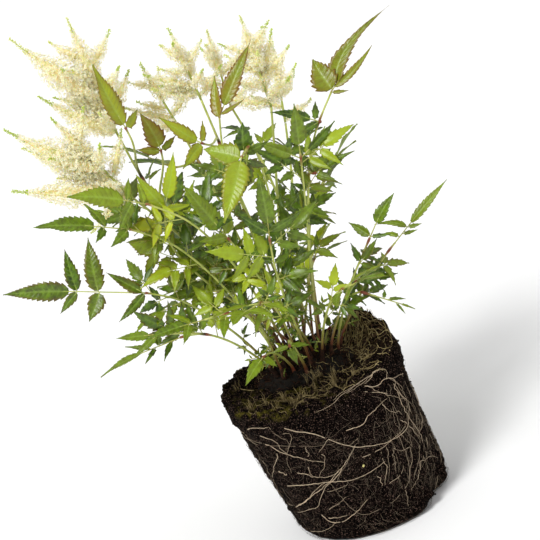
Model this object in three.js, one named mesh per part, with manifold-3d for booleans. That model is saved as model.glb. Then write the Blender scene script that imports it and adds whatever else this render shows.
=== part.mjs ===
// White astilbe lifted out of its nursery pot: a root ball of soil with its net of roots, the crown,
// flowering stalks with their panicles of spires, and compound leaves with saw-edged leaflets.
// Millimetres, +Z up. The origin is the middle of the flat base of the root ball.
import * as THREE from "three";
import { mergeVertices } from "three/addons/utils/BufferGeometryUtils.js";
import Module from "manifold-3d";

const wasm = await Module();
wasm.setup();

// ---------------------------------------------------------------- driving dimensions

const GAP = 0.3; // between pieces that touch
const DEG = Math.PI / 180;
const GOLDEN_TURN = 137.508 * DEG;
const LEAF_SEED = 300;

const BALL = {
  sides: 30,
  height: 132, // base to rim
  baseRadius: 66,
  rimRadius: 76.5,
  rimShift: -17, // the soft ball leans: its rim lies this far along X from its base
  collarZ: 110, // underside of the collar that the pot's rim left
  collarProud: 2.2,
  baseRound: 6,
  seatRadius: 47, // flat middle of the soil that carries the crown
  seatZ: 127,
  lumps: 0.8,
};
const BUMP = { angle: 33, spread: 24, height: 16 }; // torn lump of soil on the rim
const BREAK = { angle: -25, spread: 20, depth: 5, top: 30 }; // corner broken off the base

const CROWN = { x: -18, y: 8, halfX: 43, halfY: 27, height: 14, sides: 16, bottom: BALL.seatZ + GAP };
const SEAT = { floor: CROWN.bottom + 3, reach: 0.82, clearance: 0.35, spare: 8 };

const STEM = { steps: 5, petiole: 1.3, petioleSides: 3, stalk: 1.6, stalkSides: 4, taper: 0.75 };
const BOXED = [[0.06, 0.22], [0.22, 0.6], [0.6, 1]]; // stretches of a leaflet, by share of its length
const BLADE = {
  thick: 0.8,
  strip: 0.8, // half width of the rib that joins leaflets
  spread: 64, // degrees between a rib and its leaflets
  firstPair: 0.12, // from the last leaflet to the pair below it, by length of that leaflet
  pairGap: 0.38,
  sideRib: 0.3, // stalk of a side branch, by length of its leaflet
  margin: 0.45,
};
const SPIRE = { sides: 4, steps: 6, relief: 0.24, tip: 1.5, core: 2.2, slim: 0.15 };
const ROOT = { radius: 0.9, lift: 0.8, sides: 3, stepDeg: 12, stepZ: 20 };

// Flowering stalks. base: where the panicle starts; tip: its highest point; spires: tips of the
// side spires that reach out furthest, each with the share of the axis at which it leaves.
const PLUMES = [
  { name: "a", base: [-97, 10, 370], tip: [-103, 10, 474], reach: 46, fill: 9, turn: 2.2,
    spires: [[-150, 0, 475, 0.3], [-128, 22, 440, 0.12], [-146, 14, 421, 0.02]] },
  { name: "b", base: [-104, -22, 330], tip: [-140, -30, 412], reach: 44, fill: 8, turn: 2,
    spires: [[-176, -42, 418, 0.3], [-188, -32, 367, 0.1], [-170, -12, 392, 0.22],
      [-142, -34, 314, 0.02]] },
  { name: "c", base: [-25, 22, 372], tip: [-31, 20, 437], reach: 32, fill: 8, turn: 0.4,
    spires: [[-62, 18, 408, 0.2], [-60, 30, 392, 0.06]] },
  { name: "d", base: [26, 10, 350], tip: [26, 8, 430], reach: 40, fill: 10, turn: 3,
    spires: [[56, -2, 380, 0.04], [47, 24, 407, 0.3]] },
  { name: "e", base: [-50, 52, 350], tip: [-62, 54, 410], reach: 32, fill: 6, turn: 4,
    spires: [[-86, 58, 378, 0.12]] },
  { name: "f", base: [-4, 48, 352], tip: [-2, 52, 418], reach: 32, fill: 6, turn: 5, spires: [] },
  { name: "g", base: [34, 66, 318], tip: [46, 84, 384], reach: 32, fill: 5, turn: 0.5, spires: [] },
];

// Compound leaves. node: where the petiole forks; tip: where the last leaflet points; up: the way
// the blade faces; on and at: the piece that bears it, and the share of that piece's stem.
// Either blades gives the leaflets, the last one first, as [distance along the rib, degrees from
// the rib, length, width by length, sideways sweep], or the rule draws them, from leaf: the length
// of the last leaflet; pairs: leaflet pairs below it; side: size of the two side branches.
const LEAVES = [
  { name: "far_left", node: [-117, -35, 252], tip: [-221, -45, 297], up: [0, -1, 0.35],
    blades: [[62, 0, 52, 0.3], [56, -68, 34, 0.36], [56, 48, 21, 0.38], [39, -72, 43, 0.36],
      [38, 74, 24, 0.58], [4, -26, 32, 0.3], [2, 52, 30, 0.28]] },
  { name: "left_long", node: [-110, -59, 313], tip: [-176, -78, 351], up: [0.2, -0.6, 0.8],
    blades: [[30, 0, 47, 0.3], [21, -64, 28, 0.38], [22, 62, 16, 0.46], [3, 52, 22, 0.38],
      [2, -86, 26, 0.38]] },
  { name: "left_upper", node: [-90, -74, 332], tip: [-145, -88, 368], up: [0.2, -0.8, 0.5],
    blades: [[20, 0, 45, 0.4], [17, -86, 19, 0.36], [4, -78, 18, 0.36], [13, 64, 25, 0.4]] },
  { name: "low_left", node: [-102, -40, 209], tip: [-174, -52, 210], up: [0, -0.5, 0.9],
    blades: [[36, 0, 37, 0.2], [28, -38, 22, 0.24], [20, -98, 18, 0.36], [4, -60, 20, 0.3],
      [24, 44, 16, 0.3], [10, 50, 18, 0.3]] },
  { name: "low_lobed", node: [-120, -60, 225], tip: [-150, -66, 235], up: [0, -0.9, 0.5],
    blades: [[6, 0, 26, 0.3], [0, 36, 25, 0.26]], on: "leaf_low_left", at: 0.8 },
  { name: "mid_left", node: [-62, -60, 222], tip: [-124, -88, 236], up: [0, -0.5, 0.9],
    leaf: 32, pairs: 1, side: 0.7 },
  { name: "low_mid", node: [-68, 0, 226], tip: [-106, -4, 232], up: [0.1, -0.7, 0.7],
    leaf: 26, pairs: 1, side: 0.8 },
  { name: "high_left", node: [-87, -50, 389], tip: [-97, -54, 442], up: [0.4, -0.9, 0],
    blades: [[3, 0, 52, 0.27], [0, -76, 17, 0.55]], on: "plume_stalk_a", at: 0.84 },
  { name: "bronze_left", node: [-68, -24, 356], tip: [-69, -28, 390], up: [0.2, -0.9, 0.3],
    blades: [[3, 0, 31, 0.46], [0, 66, 19, 0.4], [0, -76, 16, 0.44]], on: "plume_stalk_a", at: 0.72 },
  { name: "inner_left", node: [-36, -30, 352], tip: [-60, -36, 380], up: [0, -0.8, 0.5],
    blades: [[4, 0, 35, 0.36], [0, 74, 24, 0.46], [0, -78, 17, 0.34]], on: "plume_stalk_c", at: 0.84 },
  { name: "left_inner", node: [-81, -44, 315], tip: [-57, -50, 354], up: [0.1, -0.9, 0.3],
    blades: [[10, 0, 38, 0.3], [1, -72, 21, 0.34], [2, 56, 33, 0.36]] },
  { name: "bronze", node: [-16, -50, 372], tip: [24, -42, 419], up: [-0.5, -0.95, 0.3],
    blades: [[10, 0, 52, 0.2], [0, 36, 33, 0.25], [3, -42, 21, 0.2]] },
  { name: "front_high", node: [-10, -84, 346], tip: [-36, -118, 312], up: [0, -0.75, 0.65],
    blades: [[4, 0, 50, 0.4], [1, -96, 31, 0.6]] },
  { name: "front_top", node: [-7, -66, 343], tip: [-3, -70, 367], up: [0, -0.9, 0.3],
    blades: [[2, 0, 22, 0.7], [0, -74, 20, 0.4]], on: "leaf_front_high", at: 0.93 },
  { name: "top_right", node: [75, 0, 348], tip: [138, 10, 396], up: [-0.5, -0.9, 0.2],
    blades: [[14, 36, 52, 0.27, -0.75], [5, -20, 43, 0.15, 0.25], [2, 72, 30, 0.56], [0, -56, 13, 0.28]] },
  { name: "right_cross", node: [58, -4, 329], tip: [26, -14, 356], up: [0, -0.8, 0.6],
    blades: [[8, 0, 35, 0.26], [1, 40, 28, 0.24], [4, -82, 16, 0.4]], on: "leaf_top_right", at: 0.87 },
  { name: "right_upper", node: [42, -14, 293], tip: [72, -26, 305], up: [-0.3, -0.8, 0.6],
    blades: [[5, 0, 32, 0.24], [0, 88, 12, 0.6], [1, -54, 16, 0.4]], on: "leaf_top_right", at: 0.7 },
  { name: "right_long", node: [79, 14, 201], tip: [142, 20, 241], up: [-0.3, -0.9, 0.4],
    blades: [[29, 0, 46, 0.18], [24, 98, 25, 0.23, 0.5], [14, 100, 15, 0.3, 0.4],
      [25, -38, 11, 0.36], [18, -40, 12, 0.31]] },
  { name: "right_mid", node: [65, -4, 221], tip: [93, -6, 254], up: [-0.3, -0.9, 0.3],
    blades: [[16, 0, 28, 0.38], [4, 80, 21, 0.38], [4, -56, 16, 0.26]] },
  { name: "right_low", node: [45, 2, 190], tip: [64, 0, 204], up: [-0.3, -0.8, 0.6],
    blades: [[4, 0, 19, 0.42], [1, 56, 10, 0.4], [1, -46, 20, 0.32]] },
  { name: "right_thin", node: [48, -2, 179], tip: [85, -4, 151], up: [0, -0.6, 0.8],
    blades: [[32, 0, 13, 0.2], [21, 28, 16, 0.22], [17, 98, 8, 0.45], [28, -36, 11, 0.23]],
    on: "leaf_right_low", at: 0.7 },
  { name: "mid_right", node: [18, 30, 249], tip: [54, 38, 264], up: [-0.2, -0.8, 0.6],
    leaf: 28, pairs: 1, side: 0.85 },
  { name: "centre_right", node: [34, -26, 312], tip: [42, -40, 358], up: [0.2, -0.9, 0.3],
    leaf: 36, pairs: 0, side: 0.85 },
  { name: "centre", node: [-11, -84, 275], tip: [0, -98, 330], up: [0, -0.85, 0.5],
    blades: [[15, 0, 42, 0.34], [8, -62, 31, 0.3], [7, 54, 27, 0.36]] },
  { name: "centre_left", node: [-41, -52, 277], tip: [-60, -64, 333], up: [0.1, -0.8, 0.5],
    blades: [[12, 0, 48, 0.34], [5, -62, 23, 0.44], [3, 54, 25, 0.36]] },
  { name: "mid_low", node: [-8, -34, 232], tip: [22, -40, 240], up: [0, -0.7, 0.7],
    leaf: 24, pairs: 0, side: 0.9 },
  { name: "front_mid", node: [-34, -92, 232], tip: [-62, -150, 246], up: [0, -0.2, 1],
    leaf: 36, pairs: 1, side: 0.85 },
  { name: "front_right", node: [30, -74, 214], tip: [62, -128, 236], up: [0, -0.3, 1],
    leaf: 36, pairs: 1, side: 0.8 },
  { name: "front_basal", node: [-24, -62, 179], tip: [-24, -78, 167], up: [0, -0.75, 0.6],
    blades: [[2, 0, 16, 0.5], [0, -94, 15, 0.32], [0, 80, 16, 0.4]] },
  { name: "left_basal", node: [-47, -44, 171], tip: [-68, -62, 164], up: [-0.2, -0.8, 0.5],
    blades: [[3, 0, 26, 0.4], [0, 80, 13, 0.6]] },
  { name: "right_basal", node: [13, 24, 151], tip: [30, 20, 155], up: [0, -0.9, 0.3],
    blades: [[3, 0, 15, 0.8], [0, 84, 15, 0.4]] },
  { name: "back_left", node: [-86, 66, 262], tip: [-142, 112, 292], up: [0.2, 0.4, 0.9],
    leaf: 48, pairs: 1, side: 0.75 },
  { name: "back_mid", node: [-22, 88, 266], tip: [-30, 156, 302], up: [0, 0.5, 0.9],
    leaf: 46, pairs: 1, side: 0.75 },
  { name: "back_right", node: [42, 76, 250], tip: [92, 130, 282], up: [-0.2, 0.5, 0.9],
    leaf: 44, pairs: 1, side: 0.75 },
  { name: "back_low_left", node: [-64, 70, 196], tip: [-112, 128, 206], up: [0, 0.2, 1],
    leaf: 36, pairs: 1, side: 0.75 },
  { name: "back_low_right", node: [20, 84, 192], tip: [44, 142, 204], up: [0, 0.2, 1],
    leaf: 34, pairs: 1, side: 0.75 },
  { name: "back_high", node: [-66, 56, 318], tip: [-112, 84, 352], up: [0.2, 0.3, 0.9],
    leaf: 42, pairs: 0, side: 0.8, on: "plume_stalk_e", at: 0.84 },
];

// Roots on the wall of the ball, each a row of [degrees round the ball, height]. They touch or
// cross one another, so that they hold together.
const FRONT_ROOTS = [
  [[-168, 103], [-140, 101], [-118, 98], [-96, 92], [-78, 81], [-60, 74], [-43, 78], [-32, 88]],
  [[-140, 101], [-125, 88], [-105, 74]],
  [[-143, 58], [-115, 60], [-89, 55], [-70, 58]],
  [[-147, 36], [-111, 59], [-90, 77], [-84, 84]],
  [[-37, 104], [-38, 82], [-36, 58], [-40, 38]],
  [[-52, 76], [-54, 50], [-62, 30], [-86, 20], [-104, 24], [-111, 59]],
];
const BACK_ROOTS = { from: -12, to: 176, level: 74, wave: 14, waves: 2.4, branches: 7, drop: 34 };

const LOOK = {
  soil: { color: 0x2b2320, roughness: 0.95, metalness: 0 },
  crown: { color: 0x4f3627, roughness: 0.85, metalness: 0 },
  root: { color: 0xbfae8a, roughness: 0.8, metalness: 0 },
  stalk: { color: 0x9fae48, roughness: 0.55, metalness: 0 },
  leaf: { color: 0x5a8422, roughness: 0.5, metalness: 0 },
  floret: { color: 0xefe6bb, roughness: 0.8, metalness: 0 },
};

// ---------------------------------------------------------------- small tools

const vec = (x, y, z) => new THREE.Vector3(x, y, z);
const UP = vec(0, 0, 1);
const sum = (a, b, k = 1) => a.clone().addScaledVector(b, k);
const toward = (a, b) => b.clone().sub(a).normalize();
const turned = (v, axis, angle) => v.clone().applyAxisAngle(axis, angle);
const mix = (a, b, t) => a + (b - a) * t;

// The same row of numbers from 0 to 1 for the same seed, on any machine.
function seeded(seed) {
  let state = seed >>> 0;
  return () => {
    state = (state + 0x6d2b79f5) >>> 0;
    let t = Math.imul(state ^ (state >>> 15), state | 1);
    t = (t + Math.imul(t ^ (t >>> 7), t | 61)) ^ t;
    return ((t ^ (t >>> 14)) >>> 0) / 4294967296;
  };
}

// The part of v that is square to axis, at length 1.
const squareTo = (v, axis) => sum(v, axis, -v.dot(axis)).normalize();
const anySquare = (axis) => squareTo(Math.abs(axis.x) < 0.8 ? vec(1, 0, 0) : vec(0, 1, 0), axis);

function bezier(a, b, c, d, steps) {
  return new THREE.CubicBezierCurve3(a, b, c, d).getPoints(steps);
}

function solidOf(points, triangles) {
  const vertProperties = new Float32Array(points.flatMap((p) => [p.x, p.y, p.z]));
  return new wasm.Manifold(
    new wasm.Mesh({ numProp: 3, vertProperties, triVerts: new Uint32Array(triangles.flat()) }),
  );
}

// All the solids fused, with loose scraps dropped and sealed hollows filled.
function fused(solids) {
  const whole = solids.reduce((a, b) => a.add(b));
  return whole.decompose().reduce((a, b) => (b.volume() > a.volume() ? b : a));
}

function meshOf(name, solid, look) {
  const { vertProperties, triVerts } = solid.getMesh();
  const geometry = new THREE.BufferGeometry();
  geometry.setAttribute("position", new THREE.BufferAttribute(vertProperties, 3));
  geometry.setIndex(new THREE.BufferAttribute(triVerts, 1));
  const merged = mergeVertices(geometry);
  merged.computeVertexNormals();
  const mesh = new THREE.Mesh(merged, new THREE.MeshStandardMaterial(look));
  mesh.name = name;
  return mesh;
}

// Closed skin over rings of points, which all have one length and run left round the way that
// the rings advance. Its ends are flat, or pointed where an end point is given.
function skin(rings, start = null, end = null) {
  const n = rings[0].length;
  const points = rings.flat();
  const triangles = [];
  for (let i = 0; i + 1 < rings.length; i++)
    for (let j = 0; j < n; j++) {
      const a = i * n + j;
      const b = i * n + ((j + 1) % n);
      triangles.push([a, b, b + n], [a, b + n, a + n]);
    }
  const last = (rings.length - 1) * n;
  const cap = (first, point, face) => {
    if (point) points.push(point);
    const apex = point ? points.length - 1 : first;
    for (let j = point ? 0 : 1; j < (point ? n : n - 1); j++)
      triangles.push(face(apex, first + j, first + ((j + 1) % n)));
  };
  cap(0, start, (apex, a, b) => [apex, b, a]);
  cap(last, end, (apex, a, b) => [apex, a, b]);
  return solidOf(points, triangles);
}

// Rings of points square to a path; radius(i) gives the radius of ring i, and each ring is turned
// by twist more than the one before.
function ringsAlong(path, sides, radius, twist = 0) {
  let across = null;
  return path.map((p, i) => {
    const along = toward(path[Math.max(i - 1, 0)], path[Math.min(i + 1, path.length - 1)]);
    across = across ? squareTo(across, along) : anySquare(along);
    const third = along.clone().cross(across);
    return Array.from({ length: sides }, (_, j) => {
      const angle = (j / sides) * 2 * Math.PI + i * twist;
      const r = radius(i);
      return sum(sum(p, across, r * Math.cos(angle)), third, r * Math.sin(angle));
    });
  });
}

const rod = (path, r0, r1, sides) =>
  skin(ringsAlong(path, sides, (i) => mix(r0, r1, i / (path.length - 1))));

// ---------------------------------------------------------------- keeping pieces clear

const placed = []; // boxes of what has been placed, each with its owner and kind
const stalkName = (name) => `plume_stalk_${name}`; // owns its panicle and the leaves that it bears

// The box along three square axes that holds the points, grown by a margin.
function boxOf(points, axes, margin) {
  const half = [];
  const middle = vec(0, 0, 0);
  for (const axis of axes) {
    const along = points.map((p) => p.dot(axis));
    const low = Math.min(...along);
    const high = Math.max(...along);
    half.push((high - low) / 2 + margin);
    middle.addScaledVector(axis, (low + high) / 2);
  }
  return { middle, axes, half, radius: Math.hypot(...half) };
}

// Boxes round each step of a rod.
function rodBoxes(path, radius, margin = BLADE.margin / 2) {
  return path.slice(1).map((b, i) => {
    const along = toward(path[i], b);
    const across = anySquare(along);
    const axes = [along, across, along.clone().cross(across)];
    const box = boxOf([path[i], b], axes, margin);
    box.half[1] += radius;
    box.half[2] += radius;
    box.radius = Math.hypot(...box.half);
    return box;
  });
}

// Separating axis test for two boxes.
function apart(a, b) {
  const gap = b.middle.clone().sub(a.middle);
  if (gap.length() > a.radius + b.radius) return true;
  const axes = [...a.axes, ...b.axes];
  for (const p of a.axes)
    for (const q of b.axes) {
      const cross = p.clone().cross(q);
      if (cross.length() > 1e-4) axes.push(cross.normalize());
    }
  return axes.some((axis) => {
    const reach = (box) => box.axes.reduce((r, q, k) => r + box.half[k] * Math.abs(q.dot(axis)), 0);
    return Math.abs(gap.dot(axis)) > reach(a) + reach(b);
  });
}

// What must stay clear of other parts of its own stem too: blades of blades, and both blades and
// leaf stems of the panicle at the stem's end.
const KEEPS_OFF = { blade: ["blade", "head"], petiole: ["head"] };

function isFree(boxes, owner, kind) {
  const others = placed.filter((other) => other.owner !== owner || KEEPS_OFF[kind]?.includes(other.kind));
  return boxes.every((box) => others.every((other) => apart(box, other)));
}

function claim(boxes, owner, kind) {
  for (const box of boxes) placed.push({ ...box, owner, kind });
}

// ---------------------------------------------------------------- root ball and crown

const bell = (x, spread) => Math.exp(-((x / spread) ** 2));
const degreesApart = (a, b) => Math.abs(((a - b + 540) % 360) - 180);

// Distance from the ball's leaning axis to its wall, at an angle in degrees and a height.
function wallRadius(angle, z) {
  const taper = mix(BALL.baseRadius, BALL.rimRadius - BALL.collarProud, z / BALL.height);
  const lumps = BALL.lumps * Math.sin(angle * DEG * 3 + z / 19) + 0.5 * Math.sin(angle * DEG * 5 - z / 27);
  const atBreak = bell(degreesApart(angle, BREAK.angle), BREAK.spread);
  const broken = BREAK.depth * atBreak * Math.max(0, 1 - z / BREAK.top);
  return taper + lumps - broken;
}

const axisX = (z) => (BALL.rimShift * z) / BALL.height;

function onBall(angle, radius, z) {
  return vec(axisX(z) + radius * Math.cos(angle * DEG), radius * Math.sin(angle * DEG), z);
}

// Height that the torn lump adds on the rim at an angle.
const bumpAt = (angle) => BUMP.height * bell(degreesApart(angle, BUMP.angle), BUMP.spread);

// One ring for each line of the ball's section: [radius or share of the wall, height, bump share].
function ballRings() {
  const wall = (z) => (angle) => onBall(angle, wallRadius(angle, z), z);
  const collar = (z, proud, bump) => (angle) =>
    onBall(angle, wallRadius(angle, z) + proud, z + bump * bumpAt(angle));
  const top = (radius, z, bump) => (angle) =>
    onBall(angle, radius, z + bump * bumpAt(angle) + Math.sin(angle * DEG * 4) * bump);
  const lines = [
    (angle) => onBall(angle, wallRadius(angle, 0) - BALL.baseRound, 0),
    wall(BALL.baseRound),
    wall(30),
    wall(58),
    wall(86),
    wall(BALL.collarZ - 2),
    collar(BALL.collarZ, BALL.collarProud, 0),
    collar(BALL.height - 4, BALL.collarProud, 0.7),
    collar(BALL.height, -2, 1),
    top(BALL.rimRadius - 13, BALL.height, 0.85),
    top(BALL.rimRadius - 23, BALL.seatZ + 2, 0.35),
    top(BALL.seatRadius, BALL.seatZ, 0),
  ];
  return lines.map((line) =>
    Array.from({ length: BALL.sides }, (_, j) => line((j / BALL.sides) * 360 - 180)),
  );
}

// Highest soil or crown under a point, or nothing beside the ball.
function groundUnder(p) {
  const x = p.x - axisX(BALL.height);
  const distance = Math.hypot(x, p.y);
  if (distance > BALL.rimRadius + 4) return -Infinity;
  const angle = Math.atan2(p.y, x) / DEG;
  const rim = distance > BALL.seatRadius ? BALL.height + bumpAt(angle) : BALL.seatZ;
  return Math.max(rim, crownTop(p.x, p.y));
}

function crownTop(x, y) {
  const q = Math.hypot((x - CROWN.x) / CROWN.halfX, (y - CROWN.y) / CROWN.halfY);
  return q < 1 ? CROWN.bottom + CROWN.height * (1 - q ** 4) : CROWN.bottom;
}

// Dome of the crown, with a plain blind hole for each stem.
function crownSolid(holes) {
  const ring = (share, z) =>
    Array.from({ length: CROWN.sides }, (_, j) => {
      const angle = (j / CROWN.sides) * 2 * Math.PI;
      const x = CROWN.x + share * CROWN.halfX * Math.cos(angle);
      const y = CROWN.y + share * CROWN.halfY * Math.sin(angle);
      return vec(x, y, z ?? crownTop(x, y));
    });
  const dome = skin([ring(1, CROWN.bottom), ring(0.96), ring(0.82), ring(0.55)]);
  return holes.reduce((solid, hole) => solid.subtract(hole), dome);
}

// ---------------------------------------------------------------- stems in their seats

// Seats spiral out over the crown like the florets of a daisy, with some to spare.
const STEM_COUNT = PLUMES.length + LEAVES.filter((leaf) => !leaf.on).length;
const SEAT_COUNT = STEM_COUNT + SEAT.spare;
const seats = Array.from({ length: SEAT_COUNT }, (_, i) => {
  const share = SEAT.reach * Math.sqrt((i + 0.5) / SEAT_COUNT);
  const x = CROWN.x + share * CROWN.halfX * Math.cos(i * GOLDEN_TURN);
  const y = CROWN.y + share * CROWN.halfY * Math.sin(i * GOLDEN_TURN);
  return vec(x, y, SEAT.floor + GAP);
});

// The free seats, nearest first to the one that a stem would like: far out for one that leans far.
function seatsFor(target) {
  const lean = target.clone().sub(vec(CROWN.x, CROWN.y, SEAT.floor));
  const share = Math.min(1, Math.hypot(lean.x, lean.y) / lean.z) * SEAT.reach;
  const turn = Math.atan2(lean.y / CROWN.halfY, lean.x / CROWN.halfX);
  const x = CROWN.x + share * CROWN.halfX * Math.cos(turn);
  const y = CROWN.y + share * CROWN.halfY * Math.sin(turn);
  const miss = (seat) => Math.hypot(seat.x - x, seat.y - y);
  return seats.toSorted((a, b) => miss(a) - miss(b));
}

// Sideways bends to try, from none to a wide one, as shares of the stem's length.
const BENDS = [[0, 0]];
for (const size of [0.04, 0.08, 0.13, 0.19, 0.26])
  for (let turn = 0; turn < 360; turn += 45)
    BENDS.push([size * Math.cos(turn * DEG), size * Math.sin(turn * DEG)]);

// A stem's path from start to end, leaving along out and arriving along into, bent clear of
// what other pieces already fill.
function clearPath(start, out, end, into, radius, owner, kind, foot = []) {
  const length = start.distanceTo(end);
  const along = toward(start, end);
  const sideA = anySquare(along);
  const sideB = along.clone().cross(sideA);
  for (const [a, b] of BENDS) {
    const bend = sum(sideA.clone().multiplyScalar(a * length), sideB, b * length);
    const near = sum(sum(start, out, 0.2 * length), bend);
    const far = sum(sum(end, into, -0.28 * length), bend);
    const path = [...foot, ...bezier(start, near, far, end, STEM.steps)];
    if (isFree(rodBoxes(path, radius), owner, kind)) return path;
  }
  return null;
}

// Path of a stem that stands in a seat: straight up out of its hole, then over to its end. It
// takes the nearest seat from which a bend is clear.
function seatedPath(end, into, radius, owner) {
  for (const foot of seatsFor(end)) {
    const mouth = vec(foot.x, foot.y, crownTop(foot.x, foot.y) + 2);
    const out = sum(UP, toward(mouth, end), 0.9).normalize();
    const path = clearPath(mouth, out, end, into, radius, owner, "stem", [foot]);
    if (!path) continue;
    seats.splice(seats.indexOf(foot), 1);
    return path;
  }
  throw new Error(`${owner} has no clear way up from the crown`);
}

// ---------------------------------------------------------------- leaves

// Half width of a leaflet at a share s of its length, as a share of its greatest.
const leafletHalf = (s) => 2.68 * s ** 0.55 * (1 - s) ** 0.95;

// One leaflet in the plane of its branch: from [u, v], turned by angle, with its own twist.
function leaflet(u, v, angle, length, random, width, sweep) {
  return {
    u, v, angle, length,
    width: length * (width ?? mix(0.32, 0.4, random())),
    sweep: sweep ?? mix(-0.12, 0.12, random()),
    roll: mix(-0.25, 0.25, random()),
    fold: mix(0.12, 0.3, random()),
    arch: mix(0.06, 0.18, random()),
    teeth: length > 42 ? 3 : length > 20 ? 2 : 1,
  };
}

// The leaflets of a branch by the rule: the last one, and pairs below it.
function drawnLeaflets(length, leaf, pairs, random) {
  const end = length - leaf;
  const leaflets = [leaflet(end, 0, 0, leaf, random)];
  for (let i = 0; i < pairs; i++) {
    const u = end - leaf * (BLADE.firstPair + i * BLADE.pairGap);
    for (const hand of [1, -1]) {
      const angle = hand * (BLADE.spread + mix(-8, 6, random())) * DEG;
      const size = leaf * mix(0.66, 0.82, random());
      leaflets.push(leaflet(u + hand * 0.9, hand * BLADE.strip * 0.7, angle, size, random));
    }
  }
  return leaflets;
}

// The leaflets of a branch as the table gives them.
const givenLeaflets = (rows, size, random) =>
  rows.map(([u, angle, length, width, sweep], i) => {
    const v = i ? Math.sign(angle) * BLADE.strip : 0;
    return leaflet(u, v, angle * DEG, length * size, random, width, sweep);
  });

// A branch of a leaf: its origin, the square axes of its plane, and its leaflets, the last first.
function makeBranch(origin, dir, up, leaflets) {
  const normal = squareTo(up, dir);
  return { origin, dir, side: normal.clone().cross(dir), normal, end: leaflets[0].u, leaflets };
}

const inBranch = (branch, u, v, z) =>
  sum(sum(sum(branch.origin, branch.dir, u), branch.side, v), branch.normal, z);

// A point of a leaflet at s along its rib and t across, as [u, v, z] of its branch.
function onLeaflet(leaf, s, t) {
  const bow = s ** 2 / leaf.length;
  const z = leaf.roll * t + leaf.fold * Math.abs(t) - leaf.arch * bow;
  const across = t + leaf.sweep * bow;
  const c = Math.cos(leaf.angle);
  const d = Math.sin(leaf.angle);
  return [leaf.u + c * s - d * across, leaf.v + d * s + c * across, z];
}

// The saw edge of one side of a leaflet, from its base to just before its tip.
function sawEdge(leaf, hand) {
  const edge = [onLeaflet(leaf, 0, hand * BLADE.strip)];
  for (let i = 0; i < leaf.teeth; i++) {
    const s = (i + 0.85) / (leaf.teeth + 0.7);
    const half = (leaf.width / 2) * leafletHalf(s);
    edge.push(onLeaflet(leaf, s * leaf.length, hand * half));
    if (i + 1 < leaf.teeth) edge.push(onLeaflet(leaf, (s + 0.05) * leaf.length, hand * half * 0.74));
  }
  return edge;
}

const leafletTip = (leaf) => onLeaflet(leaf, leaf.length, 0);

// The whole outline of a branch: out along one edge of its rib with the leaflets on that side,
// round the last leaflet, and back along the other.
function branchOutline(branch) {
  const [last, ...others] = branch.leaflets;
  const outline = [[0, BLADE.strip, 0]];
  const onSide = (hand) => others.filter((leaf) => Math.sign(leaf.angle) === hand);
  const outward = onSide(1).sort((a, b) => a.u - b.u);
  const inward = onSide(-1).sort((a, b) => b.u - a.u);
  for (const leaf of [...outward, last, ...inward])
    outline.push(...sawEdge(leaf, 1), leafletTip(leaf), ...sawEdge(leaf, -1).reverse());
  outline.push([0, -BLADE.strip, 0]);
  return outline.reverse();
}

// The blade of a branch: its outline filled with triangles alike on both faces.
function branchSolid(branch) {
  const outline = branchOutline(branch);
  const flat = outline.map(([u, v]) => new THREE.Vector2(u, v));
  const faces = THREE.ShapeUtils.triangulateShape(flat, []);
  const n = outline.length;
  const half = BLADE.thick / 2;
  const face = (lift) => outline.map(([u, v, z]) => inBranch(branch, u, v, z + lift));
  const walls = outline.flatMap((_, i) => {
    const j = (i + 1) % n;
    return [[i, i + n, j + n], [i, j + n, j]];
  });
  const below = faces.map(([a, b, c]) => [a + n, c + n, b + n]);
  return solidOf([...face(half), ...face(-half)], [...faces, ...below, ...walls]);
}

// The outline of a leaflet between two shares of its length, for a box round that stretch.
function stretch(leaf, from, to) {
  return [from, (from + to) / 2, to].flatMap((s) => {
    const half = s < 1 ? (leaf.width / 2) * leafletHalf(Math.max(s, 0.01)) : 0;
    return [1, -1].map((hand) => onLeaflet(leaf, s * leaf.length, hand * half));
  });
}

// Boxes round the leaflets of a branch, each from where it is wide enough to be in the way.
function branchBoxes(branch) {
  return branch.leaflets.flatMap((leaf) => {
    const along = branch.dir.clone().multiplyScalar(Math.cos(leaf.angle));
    const dir = sum(along, branch.side, Math.sin(leaf.angle));
    const across = sum(branch.normal.clone().cross(dir), branch.normal, leaf.roll).normalize();
    const axes = [dir, across, dir.clone().cross(across)];
    return BOXED.map(([from, to]) => {
      const points = stretch(leaf, from, to).map(([u, v, z]) => inBranch(branch, u, v, z));
      return boxOf(points, axes, BLADE.margin + BLADE.thick / 2);
    });
  });
}

const ribBoxes = (branch) => rodBoxes([branch.origin, inBranch(branch, branch.end, 0, 0)], BLADE.strip);

const clearsGround = (boxes) =>
  boxes.every((box) =>
    [-1, 0, 1].every((k) => {
      const p = sum(box.middle, box.axes[0], k * box.half[0]);
      return p.z - groundUnder(p) > 2;
    }),
  );

// Places a branch at the first attempt that is clear: attempts are made by the given function.
function placeBranch(owner, attempts, attempt) {
  for (let i = 0; i < attempts; i++) {
    const branch = attempt(i);
    const blades = branchBoxes(branch);
    const rib = ribBoxes(branch);
    if (!clearsGround(blades)) continue;
    if (!isFree(blades, owner, "blade") || !isFree(rib, owner, "stem")) continue;
    claim(blades, owner, "blade");
    claim(rib, owner, "stem");
    return branch;
  }
  return null;
}

// Rolls about its own rib, then smaller sizes, for the end branch of a leaf.
const END_TRIES = [[0, 1], [0.35, 1], [-0.35, 1], [0.7, 1], [-0.7, 1], [0, 0.85], [0.5, 0.85], [-0.5, 0.85],
  [1, 0.85], [-1, 0.85], [0, 0.7], [0.6, 0.7], [-0.6, 0.7]];
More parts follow.
